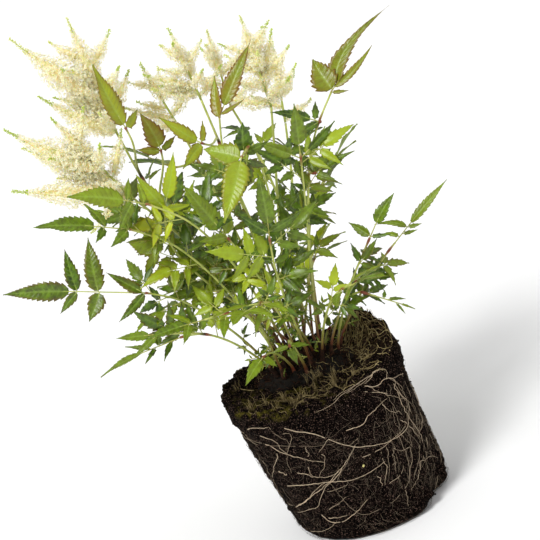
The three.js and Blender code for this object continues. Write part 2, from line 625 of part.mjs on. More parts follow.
// Spread, tilt and size for the two side branches.
const SIDE_TRIES = [[52, 0, 1], [52, 0.3, 1], [52, -0.3, 1], [68, 0, 1], [38, 0.2, 1], [68, 0.4, 1],
  [80, -0.3, 1], [52, 0.6, 0.85], [68, -0.5, 0.85], [84, 0.3, 0.85], [40, -0.3, 0.75], [60, 0.1, 0.7],
  [75, -0.1, 0.6]];

function endBranch(leaf, owner, seed) {
  const node = vec(...leaf.node);
  const dir = toward(node, vec(...leaf.tip));
  const length = node.distanceTo(vec(...leaf.tip));
  return placeBranch(owner, END_TRIES.length, (i) => {
    const [roll, size] = END_TRIES[i];
    const random = seeded(seed);
    const up = turned(squareTo(vec(...leaf.up), dir), dir, roll);
    if (leaf.blades) return makeBranch(node, dir, up, givenLeaflets(leaf.blades, size, random));
    return makeBranch(node, dir, up, drawnLeaflets(length, leaf.leaf * size, leaf.pairs, random));
  });
}

function sideBranch(leaf, owner, hand, seed) {
  const node = vec(...leaf.node);
  const main = toward(node, vec(...leaf.tip));
  const up = squareTo(vec(...leaf.up), main);
  return placeBranch(owner, SIDE_TRIES.length, (i) => {
    const [spread, tilt, size] = SIDE_TRIES[i];
    const dir = turned(turned(main, up, hand * spread * DEG), main, hand * tilt);
    const length = leaf.leaf * leaf.side * size;
    const leaflets = drawnLeaflets(length * (1 + BLADE.sideRib), length, 0, seeded(seed));
    return makeBranch(node, dir, turned(up, main, hand * tilt), leaflets);
  });
}

// ---------------------------------------------------------------- panicles

// Radius of a spire at a share t of its length, as a share of its greatest.
const spireHalf = (t) => Math.sin(Math.PI * t ** 0.75) ** 0.9;

// A spire of florets along a path, pointed at both ends: each ring stands out or in by turns and
// is turned half a side from the last, as the clusters of florets do.
function spireSolid({ path, width }) {
  const last = path.length - 1;
  const relief = (i) => 1 + SPIRE.relief * (i % 2 ? 1 : -1);
  const radius = (i) => Math.max(SPIRE.tip, width * spireHalf(i / last)) * relief(i);
  const rings = ringsAlong(path, SPIRE.sides, radius, Math.PI / SPIRE.sides);
  return skin(rings.slice(1, -1), path[0], path[last]);
}

const spirePath = (from, tip, lift, steps) => {
  const length = from.distanceTo(tip);
  const near = sum(sum(from, toward(from, tip), 0.4 * length), UP, -lift * length);
  const far = sum(sum(tip, toward(from, tip), -0.3 * length), UP, -lift * length);
  return bezier(from, near, far, tip, steps);
};

// Boxes round a spire, but for its root, which sinks into the axis.
const spireBoxes = (path, width) => rodBoxes(path.slice(1), width * 0.8, GAP);

// Further turns and sizes to try for a spire.
const SPIRE_TRIES = [[0, 1], [0.4, 1], [-0.4, 1], [0.8, 0.9], [-0.8, 0.9], [0.3, 0.7], [-0.3, 0.7]];

// A spire that keeps clear of other pieces, at the first of some turns and sizes that fits.
function placeSpire(owner, from, axis, angle, turn, length, width) {
  for (const [more, size] of SPIRE_TRIES) {
    const out = turned(anySquare(axis), axis, turn + more);
    const dir = sum(axis.clone().multiplyScalar(Math.cos(angle)), out, Math.sin(angle));
    const path = spirePath(from, sum(from, dir, length * size), 0.06, SPIRE.steps);
    const boxes = spireBoxes(path, width * size);
    if (!isFree(boxes, owner, "head")) continue;
    claim(boxes, owner, "head");
    return { path, width: width * size };
  }
  return null;
}

// Everything on one stalk above its base: the core, the spire at its end, and the side spires.
function growPanicle(plume) {
  const owner = stalkName(plume.name);
  const base = vec(...plume.base);
  const tip = vec(...plume.tip);
  const axis = toward(base, tip);
  const height = base.distanceTo(tip);
  const at = (share) => sum(base, axis, GAP + 0.1 + share * (height - 1));
  const endPath = Array.from({ length: SPIRE.steps + 1 }, (_, i) => at(mix(0.38, 1, i / SPIRE.steps)));
  const end = { path: endPath, width: height * 0.09 };
  const spires = [end];
  claim(rodBoxes([at(0), at(0.42)], SPIRE.core), owner, "head");
  claim(spireBoxes(end.path, end.width), owner, "head");
  for (const [x, y, z, share] of plume.spires) {
    const path = spirePath(at(share), vec(x, y, z), 0.05, SPIRE.steps);
    const width = path[0].distanceTo(path[SPIRE.steps]) * SPIRE.slim;
    claim(spireBoxes(path, width), owner, "head");
    spires.push({ path, width });
  }
  for (let i = 0; i < plume.fill; i++) {
    const share = mix(0.04, 0.64, i / (plume.fill - 1));
    const length = plume.reach * mix(1, 0.6, share);
    const angle = mix(66, 40, share) * DEG;
    const turn = plume.turn + i * GOLDEN_TURN;
    const spire = placeSpire(owner, at(share), axis, angle, turn, length, length * (SPIRE.slim + 0.01));
    if (spire) spires.push(spire);
  }
  return { core: [at(0), at(0.44)], spires };
}

const panicleSolid = ({ core, spires }) =>
  fused([rod(core, SPIRE.core * 0.8, SPIRE.core, STEM.stalkSides), ...spires.map(spireSolid)]);

// ---------------------------------------------------------------- roots

// A root's path on the wall, with its corners rounded and points close enough to hug the ball.
function rootPath(row) {
  const smooth = new THREE.CatmullRomCurve3(row.map(([angle, z]) => vec(angle, z, 0)));
  const turn = row.slice(1).reduce((n, [angle, z], i) => {
    const [angle0, z0] = row[i];
    return n + Math.max(Math.abs(angle - angle0) / ROOT.stepDeg, Math.abs(z - z0) / ROOT.stepZ);
  }, 0);
  const proud = ROOT.lift + ROOT.radius;
  return smooth.getPoints(Math.ceil(turn)).map((p) => onBall(p.x, wallRadius(p.x, p.y) + proud, p.y));
}

const rootNet = (rows) =>
  fused(rows.map((row) => rod(rootPath(row), ROOT.radius, ROOT.radius * 0.7, ROOT.sides)));

// The rule for the far side: one long wavy root, with branches up and down from it by turns.
function backRoots() {
  const { from, to, level, wave, waves, branches, drop } = BACK_ROOTS;
  const random = seeded(77);
  const height = (angle) => level + wave * Math.sin(((angle - from) / (to - from)) * waves * 2 * Math.PI);
  const main = Array.from({ length: 12 }, (_, i) => {
    const angle = mix(from, to, i / 11);
    return [angle, height(angle)];
  });
  const rows = [main];
  for (let i = 0; i < branches; i++) {
    const angle = mix(from + 8, to - 8, i / (branches - 1));
    const way = i % 2 ? 1 : -1;
    const reach = drop * mix(0.5, 1, random()) * (way > 0 ? 0.5 : 1);
    const lean = mix(-16, 16, random());
    rows.push([[angle, height(angle)], [angle + lean * 0.6, height(angle) + way * reach * 0.5],
      [angle + lean, height(angle) + way * reach]]);
  }
  return rows;
}

// ---------------------------------------------------------------- the plant

const leafOwner = (leaf) => leaf.on ?? `leaf_${leaf.name}`;

// The stem of a flowering stalk: where it ends, the way it arrives there, and its girth.
function stalkStem(plume) {
  const end = vec(...plume.base);
  const into = toward(end, vec(...plume.tip));
  const { stalk: radius, stalkSides: sides } = STEM;
  return { owner: stalkName(plume.name), end, into, radius, sides, past: [] };
}

// How far the rib of a leaf's end branch runs before its first leaflets.
function bareRib(leaf, length) {
  if (leaf.blades) return Math.min(...leaf.blades.map(([u]) => u));
  return length - leaf.leaf * (1 + BLADE.firstPair + Math.max(leaf.pairs - 1, 0) * BLADE.pairGap);
}

// The stem of a leaf, which runs past its node to just below its first leaflets.
function leafStem(leaf) {
  const end = vec(...leaf.node);
  const tip = vec(...leaf.tip);
  const into = toward(end, tip);
  const past = sum(end, into, Math.max(bareRib(leaf, end.distanceTo(tip)) * 0.6, 0.5));
  const { petiole: radius, petioleSides: sides } = STEM;
  return { owner: leafOwner(leaf), end, into, radius, sides, past: [past], leaf };
}

// The path of a leaf's stem that grows out of another stem.
function borneStem(stem, stalkPath) {
  const stalk = new THREE.CatmullRomCurve3(stalkPath);
  const start = stalk.getPointAt(stem.leaf.at);
  const out = stalk.getTangentAt(stem.leaf.at);
  const path = clearPath(start, out, stem.end, stem.into, stem.radius, stem.owner, "petiole");
  if (!path) throw new Error(`${stem.leaf.name} has no clear way out from its stalk`);
  return path;
}

const pieces = new Map(); // the solids of each piece, by the piece's name
const grow = (owner, solid) => pieces.set(owner, [...(pieces.get(owner) ?? []), solid]);

function growStem(stem, path) {
  stem.path = [...path, ...stem.past];
  claim(rodBoxes(stem.path, stem.radius), stem.owner, "stem");
  grow(stem.owner, rod(stem.path, stem.radius, stem.radius * STEM.taper, stem.sides));
}

// A plain hole, a little wider than the stem that stands in it.
function stemHole({ path: [foot, mouth], radius, sides }) {
  const wide = radius + SEAT.clearance / Math.cos(Math.PI / sides);
  const floor = vec(foot.x, foot.y, SEAT.floor);
  return rod([floor, vec(foot.x, foot.y, mouth.z + CROWN.height)], wide, wide, sides);
}

for (const plume of PLUMES) grow(`plume_head_${plume.name}`, panicleSolid(growPanicle(plume)));

// The stems that lean furthest take their seats first, and the steep ones rise between them.
const leanOf = ({ end }) => Math.hypot(end.x - CROWN.x, end.y - CROWN.y) / (end.z - SEAT.floor);
const leafStems = LEAVES.map(leafStem);
const seated = [...PLUMES.map(stalkStem), ...leafStems.filter((stem) => !stem.leaf.on)];
seated.sort((a, b) => leanOf(b) - leanOf(a));
for (const stem of seated) growStem(stem, seatedPath(stem.end, stem.into, stem.radius, stem.owner));
for (const stem of leafStems.filter(({ leaf }) => leaf.on)) {
  const bearer = seated.find(({ owner }) => owner === stem.owner);
  growStem(stem, borneStem(stem, bearer.path));
}

// Every leaf gets its end branch before any gets its side branches.
LEAVES.forEach((leaf, i) => {
  const branch = endBranch(leaf, leafOwner(leaf), LEAF_SEED + i);
  if (branch) grow(leafOwner(leaf), branchSolid(branch));
});
LEAVES.forEach((leaf, i) => {
  for (const hand of leaf.side ? [1, -1] : []) {
    const branch = sideBranch(leaf, leafOwner(leaf), hand, LEAF_SEED + i + 100 + 50 * hand);
    if (branch) grow(leafOwner(leaf), branchSolid(branch));
  }
});

const plant = new THREE.Group();
const add = (name, solid, look) => plant.add(meshOf(name, solid, look));

add("root_ball", skin(ballRings()), LOOK.soil);
add("root_net_front", rootNet(FRONT_ROOTS), LOOK.root);
add("root_net_back", rootNet(backRoots()), LOOK.root);
add("crown", crownSolid(seated.map(stemHole)), LOOK.crown);
for (const [name, solids] of pieces) {
  const kind = name.split("_").slice(0, -1).join("_");
  add(name, fused(solids), { plume_head: LOOK.floret, plume_stalk: LOOK.stalk }[kind] ?? LOOK.leaf);
}

export default plant;
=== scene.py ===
"""Looks of the white astilbe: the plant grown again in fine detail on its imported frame.

The tables and rules of growth are those of the part, and a comment says where they differ. The part gave
each stem, leaf branch and spire the first way to grow that was clear of the rest; here the vertices of its
nodes tell which one. Lengths are millimetres until a mesh is made.
"""

import math

import bpy
import numpy as np
from mathutils import Matrix, Vector, noise
from mathutils.kdtree import KDTree


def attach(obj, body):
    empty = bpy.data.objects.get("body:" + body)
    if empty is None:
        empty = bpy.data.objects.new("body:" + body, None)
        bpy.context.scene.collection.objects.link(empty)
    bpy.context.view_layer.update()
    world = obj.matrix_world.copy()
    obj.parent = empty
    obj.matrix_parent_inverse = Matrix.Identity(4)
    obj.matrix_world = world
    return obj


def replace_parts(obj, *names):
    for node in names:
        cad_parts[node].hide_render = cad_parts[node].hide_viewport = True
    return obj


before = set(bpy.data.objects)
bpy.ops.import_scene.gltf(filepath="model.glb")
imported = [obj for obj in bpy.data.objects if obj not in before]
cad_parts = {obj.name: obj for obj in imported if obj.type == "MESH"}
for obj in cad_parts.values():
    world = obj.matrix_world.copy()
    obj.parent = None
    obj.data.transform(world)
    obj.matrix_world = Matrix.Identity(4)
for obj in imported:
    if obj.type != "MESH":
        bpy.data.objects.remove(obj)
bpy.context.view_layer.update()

# ---------------------------------------------------------------- driving dimensions

MM = 0.001
# Between pieces that touch.
GAP = 0.3
GOLDEN_TURN = math.radians(137.508)
# Seeds of the part's draws, and of those that are made here alone.
SEEDS = dict(leaf=300, side=100, hand=50)
FINE_SEEDS = dict(stem=1000, branch=2000, clothing=3000, crown=11, roots=21, ball=31)

BALL = dict(height=132, base_radius=66, rim_radius=76.5, rim_shift=-17, collar_z=110, collar_proud=2.2,
            base_round=6, seat_radius=47, seat_z=127)
# Slow lumps of the wall: how proud, how many round it, and the height in which one turns by a radian.
LUMPS = [(0.8, 3, 19), (0.5, 5, -27)]
# The torn lump on the rim and the corner broken off the base, both a little stronger than in the part.
BUMP = dict(angle=29, spread=25, height=19)
BREAK = dict(angle=-32, spread=16, depth=11, top=28)
CROWN = dict(x=-18, y=8, half_x=43, half_y=27, height=14, bottom=BALL["seat_z"] + GAP)
SEAT = dict(floor=CROWN["bottom"] + 3, reach=0.82, spare=8)
STEM = dict(steps=5, petiole=1.3, stalk=1.6, taper=0.75, leave=0.2, arrive=0.28)
BLADE = dict(strip=0.8, spread=64, first_pair=0.12, pair_gap=0.38, side_rib=0.3, half_thick=0.4,
             stagger=0.9, stray=(-8, 6), pair_size=(0.66, 0.82))
# What is drawn for a leaflet: its width and sweep by its length, its roll, fold and arch.
LEAFLET = dict(width=(0.32, 0.4), sweep=(-0.12, 0.12), roll=(-0.25, 0.25), fold=(0.12, 0.3),
               arch=(0.06, 0.18))
SPIRE = dict(steps=6, slim=0.15, leave=0.4, arrive=0.3, lift=0.05)
# A panicle's leading spire: from which share of its axis it is thick, and how wide by the panicle's height.
LEADER = dict(start=0.38, width=0.09)
# The spires that fill it: from and to which share of its axis they leave, how much shorter they get, their
# degrees from the axis, and how much they hang.
FILLING = dict(low=0.04, high=0.64, shrink=0.6, angles=(66, 40), lift=0.06)
# A point is a vertex of the CAD where it is no further off than this.
MET = 0.1

# name, base, tip, reach, number and first turn of the filling spires, and the tips of the spires that
# reach out furthest as (x, y, z, share of the axis)
PLUMES = [
    ("a", (-97, 10, 370), (-103, 10, 474), 46, 9, 2.2,
     [(-150, 0, 475, 0.3), (-128, 22, 440, 0.12), (-146, 14, 421, 0.02)]),
    ("b", (-104, -22, 330), (-140, -30, 412), 44, 8, 2,
     [(-176, -42, 418, 0.3), (-188, -32, 367, 0.1), (-170, -12, 392, 0.22), (-142, -34, 314, 0.02)]),
    ("c", (-25, 22, 372), (-31, 20, 437), 32, 8, 0.4, [(-62, 18, 408, 0.2), (-60, 30, 392, 0.06)]),
    ("d", (26, 10, 350), (26, 8, 430), 40, 10, 3, [(56, -2, 380, 0.04), (47, 24, 407, 0.3)]),
    ("e", (-50, 52, 350), (-62, 54, 410), 32, 6, 4, [(-86, 58, 378, 0.12)]),
    ("f", (-4, 48, 352), (-2, 52, 418), 32, 6, 5, []),
    ("g", (34, 66, 318), (46, 84, 384), 32, 5, 0.5, []),
]

# name: node, tip, up, and the leaflets as (distance, degrees, length, width share, sweep), or the
# length of the last leaflet, the pairs below it and the size of the side branches. "on" is the piece
# that bears the leaf, and the share of its stem.
LEAVES = {
    "far_left": dict(node=(-117, -35, 252), tip=(-221, -45, 297), up=(0, -1, 0.35),
        blades=[(62, 0, 52, 0.3), (56, -68, 34, 0.36), (56, 48, 21, 0.38), (39, -72, 43, 0.36),
                (38, 74, 24, 0.58), (4, -26, 32, 0.3), (2, 52, 30, 0.28)]),
    "left_long": dict(node=(-110, -59, 313), tip=(-176, -78, 351), up=(0.2, -0.6, 0.8),
        blades=[(30, 0, 47, 0.3), (21, -64, 28, 0.38), (22, 62, 16, 0.46), (3, 52, 22, 0.38),
                (2, -86, 26, 0.38)]),
    "left_upper": dict(node=(-90, -74, 332), tip=(-145, -88, 368), up=(0.2, -0.8, 0.5),
        blades=[(20, 0, 45, 0.4), (17, -86, 19, 0.36), (4, -78, 18, 0.36), (13, 64, 25, 0.4)]),
    "low_left": dict(node=(-102, -40, 209), tip=(-174, -52, 210), up=(0, -0.5, 0.9),
        blades=[(36, 0, 37, 0.2), (28, -38, 22, 0.24), (20, -98, 18, 0.36), (4, -60, 20, 0.3),
                (24, 44, 16, 0.3), (10, 50, 18, 0.3)]),
    "low_lobed": dict(node=(-120, -60, 225), tip=(-150, -66, 235), up=(0, -0.9, 0.5),
        blades=[(6, 0, 26, 0.3), (0, 36, 25, 0.26)], on=("leaf_low_left", 0.8)),
    "mid_left": dict(node=(-62, -60, 222), tip=(-124, -88, 236), up=(0, -0.5, 0.9), rule=(32, 1, 0.7)),
    "low_mid": dict(node=(-68, 0, 226), tip=(-106, -4, 232), up=(0.1, -0.7, 0.7), rule=(26, 1, 0.8)),
    "high_left": dict(node=(-87, -50, 389), tip=(-97, -54, 442), up=(0.4, -0.9, 0),
        blades=[(3, 0, 52, 0.27), (0, -76, 17, 0.55)], on=("plume_stalk_a", 0.84)),
    "bronze_left": dict(node=(-68, -24, 356), tip=(-69, -28, 390), up=(0.2, -0.9, 0.3),
        blades=[(3, 0, 31, 0.46), (0, 66, 19, 0.4), (0, -76, 16, 0.44)], on=("plume_stalk_a", 0.72)),
    "inner_left": dict(node=(-36, -30, 352), tip=(-60, -36, 380), up=(0, -0.8, 0.5),
        blades=[(4, 0, 35, 0.36), (0, 74, 24, 0.46), (0, -78, 17, 0.34)], on=("plume_stalk_c", 0.84)),
    "left_inner": dict(node=(-81, -44, 315), tip=(-57, -50, 354), up=(0.1, -0.9, 0.3),
        blades=[(10, 0, 38, 0.3), (1, -72, 21, 0.34), (2, 56, 33, 0.36)]),
    "bronze": dict(node=(-16, -50, 372), tip=(24, -42, 419), up=(-0.5, -0.95, 0.3),
        blades=[(10, 0, 52, 0.2), (0, 36, 33, 0.25), (3, -42, 21, 0.2)]),
    "front_high": dict(node=(-10, -84, 346), tip=(-36, -118, 312), up=(0, -0.75, 0.65),
        blades=[(4, 0, 50, 0.4), (1, -96, 31, 0.6)]),
    "front_top": dict(node=(-7, -66, 343), tip=(-3, -70, 367), up=(0, -0.9, 0.3),
        blades=[(2, 0, 22, 0.7), (0, -74, 20, 0.4)], on=("leaf_front_high", 0.93)),
    "top_right": dict(node=(75, 0, 348), tip=(138, 10, 396), up=(-0.5, -0.9, 0.2),
        blades=[(14, 36, 52, 0.27, -0.75), (5, -20, 43, 0.15, 0.25), (2, 72, 30, 0.56), (0, -56, 13, 0.28)]),
    "right_cross": dict(node=(58, -4, 329), tip=(26, -14, 356), up=(0, -0.8, 0.6),
        blades=[(8, 0, 35, 0.26), (1, 40, 28, 0.24), (4, -82, 16, 0.4)], on=("leaf_top_right", 0.87)),
    "right_upper": dict(node=(42, -14, 293), tip=(72, -26, 305), up=(-0.3, -0.8, 0.6),
        blades=[(5, 0, 32, 0.24), (0, 88, 12, 0.6), (1, -54, 16, 0.4)], on=("leaf_top_right", 0.7)),
    "right_long": dict(node=(79, 14, 201), tip=(142, 20, 241), up=(-0.3, -0.9, 0.4),
        blades=[(29, 0, 46, 0.18), (24, 98, 25, 0.23, 0.5), (14, 100, 15, 0.3, 0.4),
                (25, -38, 11, 0.36), (18, -40, 12, 0.31)]),
    "right_mid": dict(node=(65, -4, 221), tip=(93, -6, 254), up=(-0.3, -0.9, 0.3),
        blades=[(16, 0, 28, 0.38), (4, 80, 21, 0.38), (4, -56, 16, 0.26)]),
    "right_low": dict(node=(45, 2, 190), tip=(64, 0, 204), up=(-0.3, -0.8, 0.6),
        blades=[(4, 0, 19, 0.42), (1, 56, 10, 0.4), (1, -46, 20, 0.32)]),
    "right_thin": dict(node=(48, -2, 179), tip=(85, -4, 151), up=(0, -0.6, 0.8),
        blades=[(32, 0, 13, 0.2), (21, 28, 16, 0.22), (17, 98, 8, 0.45), (28, -36, 11, 0.23)],
        on=("leaf_right_low", 0.7)),
    "mid_right": dict(node=(18, 30, 249), tip=(54, 38, 264), up=(-0.2, -0.8, 0.6), rule=(28, 1, 0.85)),
    "centre_right": dict(node=(34, -26, 312), tip=(42, -40, 358), up=(0.2, -0.9, 0.3), rule=(36, 0, 0.85)),
    "centre": dict(node=(-11, -84, 275), tip=(0, -98, 330), up=(0, -0.85, 0.5),
        blades=[(15, 0, 42, 0.34), (8, -62, 31, 0.3), (7, 54, 27, 0.36)]),
    "centre_left": dict(node=(-41, -52, 277), tip=(-60, -64, 333), up=(0.1, -0.8, 0.5),
        blades=[(12, 0, 48, 0.34), (5, -62, 23, 0.44), (3, 54, 25, 0.36)]),
    "mid_low": dict(node=(-8, -34, 232), tip=(22, -40, 240), up=(0, -0.7, 0.7), rule=(24, 0, 0.9)),
    "front_mid": dict(node=(-34, -92, 232), tip=(-62, -150, 246), up=(0, -0.2, 1), rule=(36, 1, 0.85)),
    "front_right": dict(node=(30, -74, 214), tip=(62, -128, 236), up=(0, -0.3, 1), rule=(36, 1, 0.8)),
    "front_basal": dict(node=(-24, -62, 179), tip=(-24, -78, 167), up=(0, -0.75, 0.6),
        blades=[(2, 0, 16, 0.5), (0, -94, 15, 0.32), (0, 80, 16, 0.4)]),
    "left_basal": dict(node=(-47, -44, 171), tip=(-68, -62, 164), up=(-0.2, -0.8, 0.5),
        blades=[(3, 0, 26, 0.4), (0, 80, 13, 0.6)]),
    "right_basal": dict(node=(13, 24, 151), tip=(30, 20, 155), up=(0, -0.9, 0.3),
        blades=[(3, 0, 15, 0.8), (0, 84, 15, 0.4)]),
    "back_left": dict(node=(-86, 66, 262), tip=(-142, 112, 292), up=(0.2, 0.4, 0.9), rule=(48, 1, 0.75)),
    "back_mid": dict(node=(-22, 88, 266), tip=(-30, 156, 302), up=(0, 0.5, 0.9), rule=(46, 1, 0.75)),
    "back_right": dict(node=(42, 76, 250), tip=(92, 130, 282), up=(-0.2, 0.5, 0.9), rule=(44, 1, 0.75)),
    "back_low_left": dict(node=(-64, 70, 196), tip=(-112, 128, 206), up=(0, 0.2, 1), rule=(36, 1, 0.75)),
    "back_low_right": dict(node=(20, 84, 192), tip=(44, 142, 204), up=(0, 0.2, 1), rule=(34, 1, 0.75)),
    "back_high": dict(node=(-66, 56, 318), tip=(-112, 84, 352), up=(0.2, 0.3, 0.9), rule=(42, 0, 0.8),
        on=("plume_stalk_e", 0.84)),
}

# ---------------------------------------------------------------- small tools

UP = np.array([0.0, 0.0, 1.0])


def vec(*xyz):
    return np.array(xyz, float)


def unit(v):
    return v / np.linalg.norm(v)


def units(rows):
    return rows / np.linalg.norm(rows, axis=-1, keepdims=True)


def square_to(v, axis):
    """The part of v that is square to axis, at length 1."""
    return unit(v - axis * np.dot(v, axis))


def any_square(axis):
    return square_to(vec(1, 0, 0) if abs(axis[0]) < 0.8 else vec(0, 1, 0), axis)


def turned(v, axis, angle):
    c, s = math.cos(angle), math.sin(angle)
    return v * c + np.cross(axis, v) * s + axis * np.dot(axis, v) * (1 - c)


def mix(a, b, t):
    return a + (b - a) * t


def seeded(seed):
    """The part's own row of numbers from 0 to 1."""
    mask = 0xFFFFFFFF
    state = seed & mask

    def draw():
        nonlocal state
        state = (state + 0x6D2B79F5) & mask
        t = ((state ^ (state >> 15)) * (state | 1)) & mask
        t = ((t + (((t ^ (t >> 7)) * (t | 61)) & mask)) & mask) ^ t
        return (t ^ (t >> 14)) / (mask + 1)

    return draw


def bezier(a, b, c, d, steps):
    t = np.linspace(0, 1, steps + 1)[:, None]
    return a * (1 - t) ** 3 + b * 3 * t * (1 - t) ** 2 + c * 3 * t ** 2 * (1 - t) + d * t ** 3


def path_length(path):
    return np.linalg.norm(np.diff(path, axis=0), axis=1).sum()


def smooth_path(points, count):
    """Points evenly spread on a smooth curve through the given ones."""
    p = np.asarray(points, float)
    p = np.vstack([2 * p[0] - p[1], p, 2 * p[-1] - p[-2]])
    fine = []
    for i in range(1, len(p) - 2):
        t = np.linspace(0, 1, 12, endpoint=False)[:, None]
        a, b, c, d = p[i - 1:i + 3]
        fine.append(0.5 * (2 * b + (c - a) * t + (2 * a - 5 * b + 4 * c - d) * t ** 2
                           + (3 * b - a - 3 * c + d) * t ** 3))
    fine = np.vstack([*fine, p[-2:-1]])
    along = np.concatenate([[0], np.cumsum(np.linalg.norm(np.diff(fine, axis=0), axis=1))])
    spots = np.linspace(0, along[-1], count)
    return np.stack([np.interp(spots, along, fine[:, k]) for k in range(3)], axis=1)


VERTICES = {name: np.array([v.co for v in node.data.vertices], float) / MM
            for name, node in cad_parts.items()}


def nearest(node, points):
    """Distance from each point to the nearest vertex of a CAD node."""
    flat = np.reshape(points, (-1, 3))
    vertices = VERTICES[node]
    squares = (flat ** 2).sum(1)[:, None] + (vertices ** 2).sum(1) - 2 * flat @ vertices.T
    return np.sqrt(np.maximum(squares.min(1), 0)).reshape(np.shape(points)[:-1])


# ---------------------------------------------------------------- the ball and the crown


def degrees_apart(a, b):
    return np.abs(((a - b + 540) % 360) - 180)


def bell(x, spread):
    return np.exp(-((x / spread) ** 2))


def wall_radius(angle, z):
    taper = mix(BALL["base_radius"], BALL["rim_radius"] - BALL["collar_proud"], z / BALL["height"])
    lumps = sum(proud * np.sin(np.radians(angle * waves) + z / rise) for proud, waves, rise in LUMPS)
    at_break = bell(degrees_apart(angle, BREAK["angle"]), BREAK["spread"])
    return taper + lumps - BREAK["depth"] * at_break * np.maximum(0, 1 - z / BREAK["top"])


def axis_x(z):
    return BALL["rim_shift"] * z / BALL["height"]


def from_axis(points):
    """Points as seen from the ball's leaning axis, in the plane."""
    return points[:, :2] - np.stack([axis_x(points[:, 2]), 0 * points[:, 2]], axis=1)


def on_ball(angle, radius, z):
    turn = np.radians(angle)
    return np.stack([axis_x(z) + radius * np.cos(turn), radius * np.sin(turn), z + 0 * turn], axis=-1)


def bump_at(angle):
    return BUMP["height"] * bell(degrees_apart(angle, BUMP["angle"]), BUMP["spread"])


def crown_top(x, y):
    q = math.hypot((x - CROWN["x"]) / CROWN["half_x"], (y - CROWN["y"]) / CROWN["half_y"])
    return CROWN["bottom"] + CROWN["height"] * max(0, 1 - q ** 4)


# ---------------------------------------------------------------- paths of the stems

STEM_COUNT = len(PLUMES) + sum("on" not in leaf for leaf in LEAVES.values())
SEAT_COUNT = STEM_COUNT + SEAT["spare"]


def seat(i):
    share = SEAT["reach"] * math.sqrt((i + 0.5) / SEAT_COUNT)
    x = CROWN["x"] + share * CROWN["half_x"] * math.cos(i * GOLDEN_TURN)
    y = CROWN["y"] + share * CROWN["half_y"] * math.sin(i * GOLDEN_TURN)
    return vec(x, y, SEAT["floor"] + GAP)


SEATS = [seat(i) for i in range(SEAT_COUNT)]
# Sideways bends that the part tries, as shares of the stem's length.
BENDS = [(0, 0)] + [(size * math.cos(math.radians(turn)), size * math.sin(math.radians(turn)))
                    for size in (0.04, 0.08, 0.13, 0.19, 0.26) for turn in range(0, 360, 45)]


def bent_paths(start, out, end, into):
    """A stem's path from start to end at each of the bends."""
    length = np.linalg.norm(end - start)
    along = unit(end - start)
    side_a = any_square(along)
    side_b = np.cross(along, side_a)
    for a, b in BENDS:
        bend = (side_a * a + side_b * b) * length
        near = start + out * STEM["leave"] * length + bend
        far = end - into * STEM["arrive"] * length + bend
        yield bezier(start, near, far, end, STEM["steps"])


def misfit(node, path, first, radius, count):
    """How far the CAD's rings are off those of a stem of count rings; path has those from the first on."""
    ring = np.arange(first, first + len(path))
    expected = radius * (1 + (STEM["taper"] - 1) * ring / (count - 1))
    return np.abs(nearest(node, path) - expected)[1:-1].mean()


def seated_path(node, end, into, radius, count):
    """The path from the crown that fits the node's own stem best, with its foot in the crown."""
    best, least = None, math.inf
    for foot in SEATS:
        mouth = vec(foot[0], foot[1], crown_top(foot[0], foot[1]) + 2)
        out = unit(UP + unit(end - mouth) * 0.9)
        for path in bent_paths(mouth, out, end, into):
            off = misfit(node, path, 1, radius, count)
            if off < least:
                best, least = np.vstack([foot[None], path]), off
    return best


def borne_path(node, end, into, radius, bearer, at):
    """The path from the share at of the bearer's stem that fits the node best."""
    count = 400
    stalk = smooth_path(bearer, count)
    k = round(at * (count - 1))
    out = unit(stalk[min(k + 1, count - 1)] - stalk[k - 1])
    paths = list(bent_paths(stalk[k], out, end, into))
    return min(paths, key=lambda path: misfit(node, path, 0, radius, len(path) + 1))


def bare_rib(leaf, length):
    if "blades" in leaf:
        return min(row[0] for row in leaf["blades"])
    last, pairs, _ = leaf["rule"]
    return length - last * (1 + BLADE["first_pair"] + max(pairs - 1, 0) * BLADE["pair_gap"])


def owner_of(name):
    return LEAVES[name]["on"][0] if "on" in LEAVES[name] else f"leaf_{name}"


def leaf_path(leaf, owner, stems):
    """The path of a leaf's stem, which ends a little past its fork."""
    end, tip, radius = vec(*leaf["node"]), vec(*leaf["tip"]), STEM["petiole"]
    into = unit(tip - end)
    past = end + into * max(bare_rib(leaf, np.linalg.norm(tip - end)) * 0.6, 0.5)
    if "on" in leaf:
        bearer, at = leaf["on"]
        path = borne_path(owner, end, into, radius, stems[bearer]["path"], at)
    else:
        path = seated_path(owner, end, into, radius, STEM["steps"] + 3)
    return np.vstack([path, past[None]])


def grow_stems():
    """Every stem by its name: the piece that it is in, its path and its radius."""
    stems = {}
    for name, base, tip, *_ in PLUMES:
        node, end = f"plume_stalk_{name}", vec(*base)
        path = seated_path(node, end, unit(vec(*tip) - end), STEM["stalk"], STEM["steps"] + 2)
        stems[node] = dict(owner=node, path=path, radius=STEM["stalk"])
    for name, leaf in sorted(LEAVES.items(), key=lambda item: "on" in item[1]):
        owner = owner_of(name)
        path = leaf_path(leaf, owner, stems)
        stems[name if "on" in leaf else owner] = dict(owner=owner, path=path, radius=STEM["petiole"])
    return stems


# ---------------------------------------------------------------- branches of the leaves


def leaflet(u, v, angle, length, draw, width=None, sweep=None):
    """A leaflet that leaves its rib at u, v. What isn't given is drawn."""
    def drawn(trait):
        return mix(*LEAFLET[trait], draw())

    return dict(
        u=u, v=v, angle=angle, length=length, width=length * (drawn("width") if width is None else width),
        sweep=drawn("sweep") if sweep is None else sweep,
        roll=drawn("roll"), fold=drawn("fold"), arch=drawn("arch"))


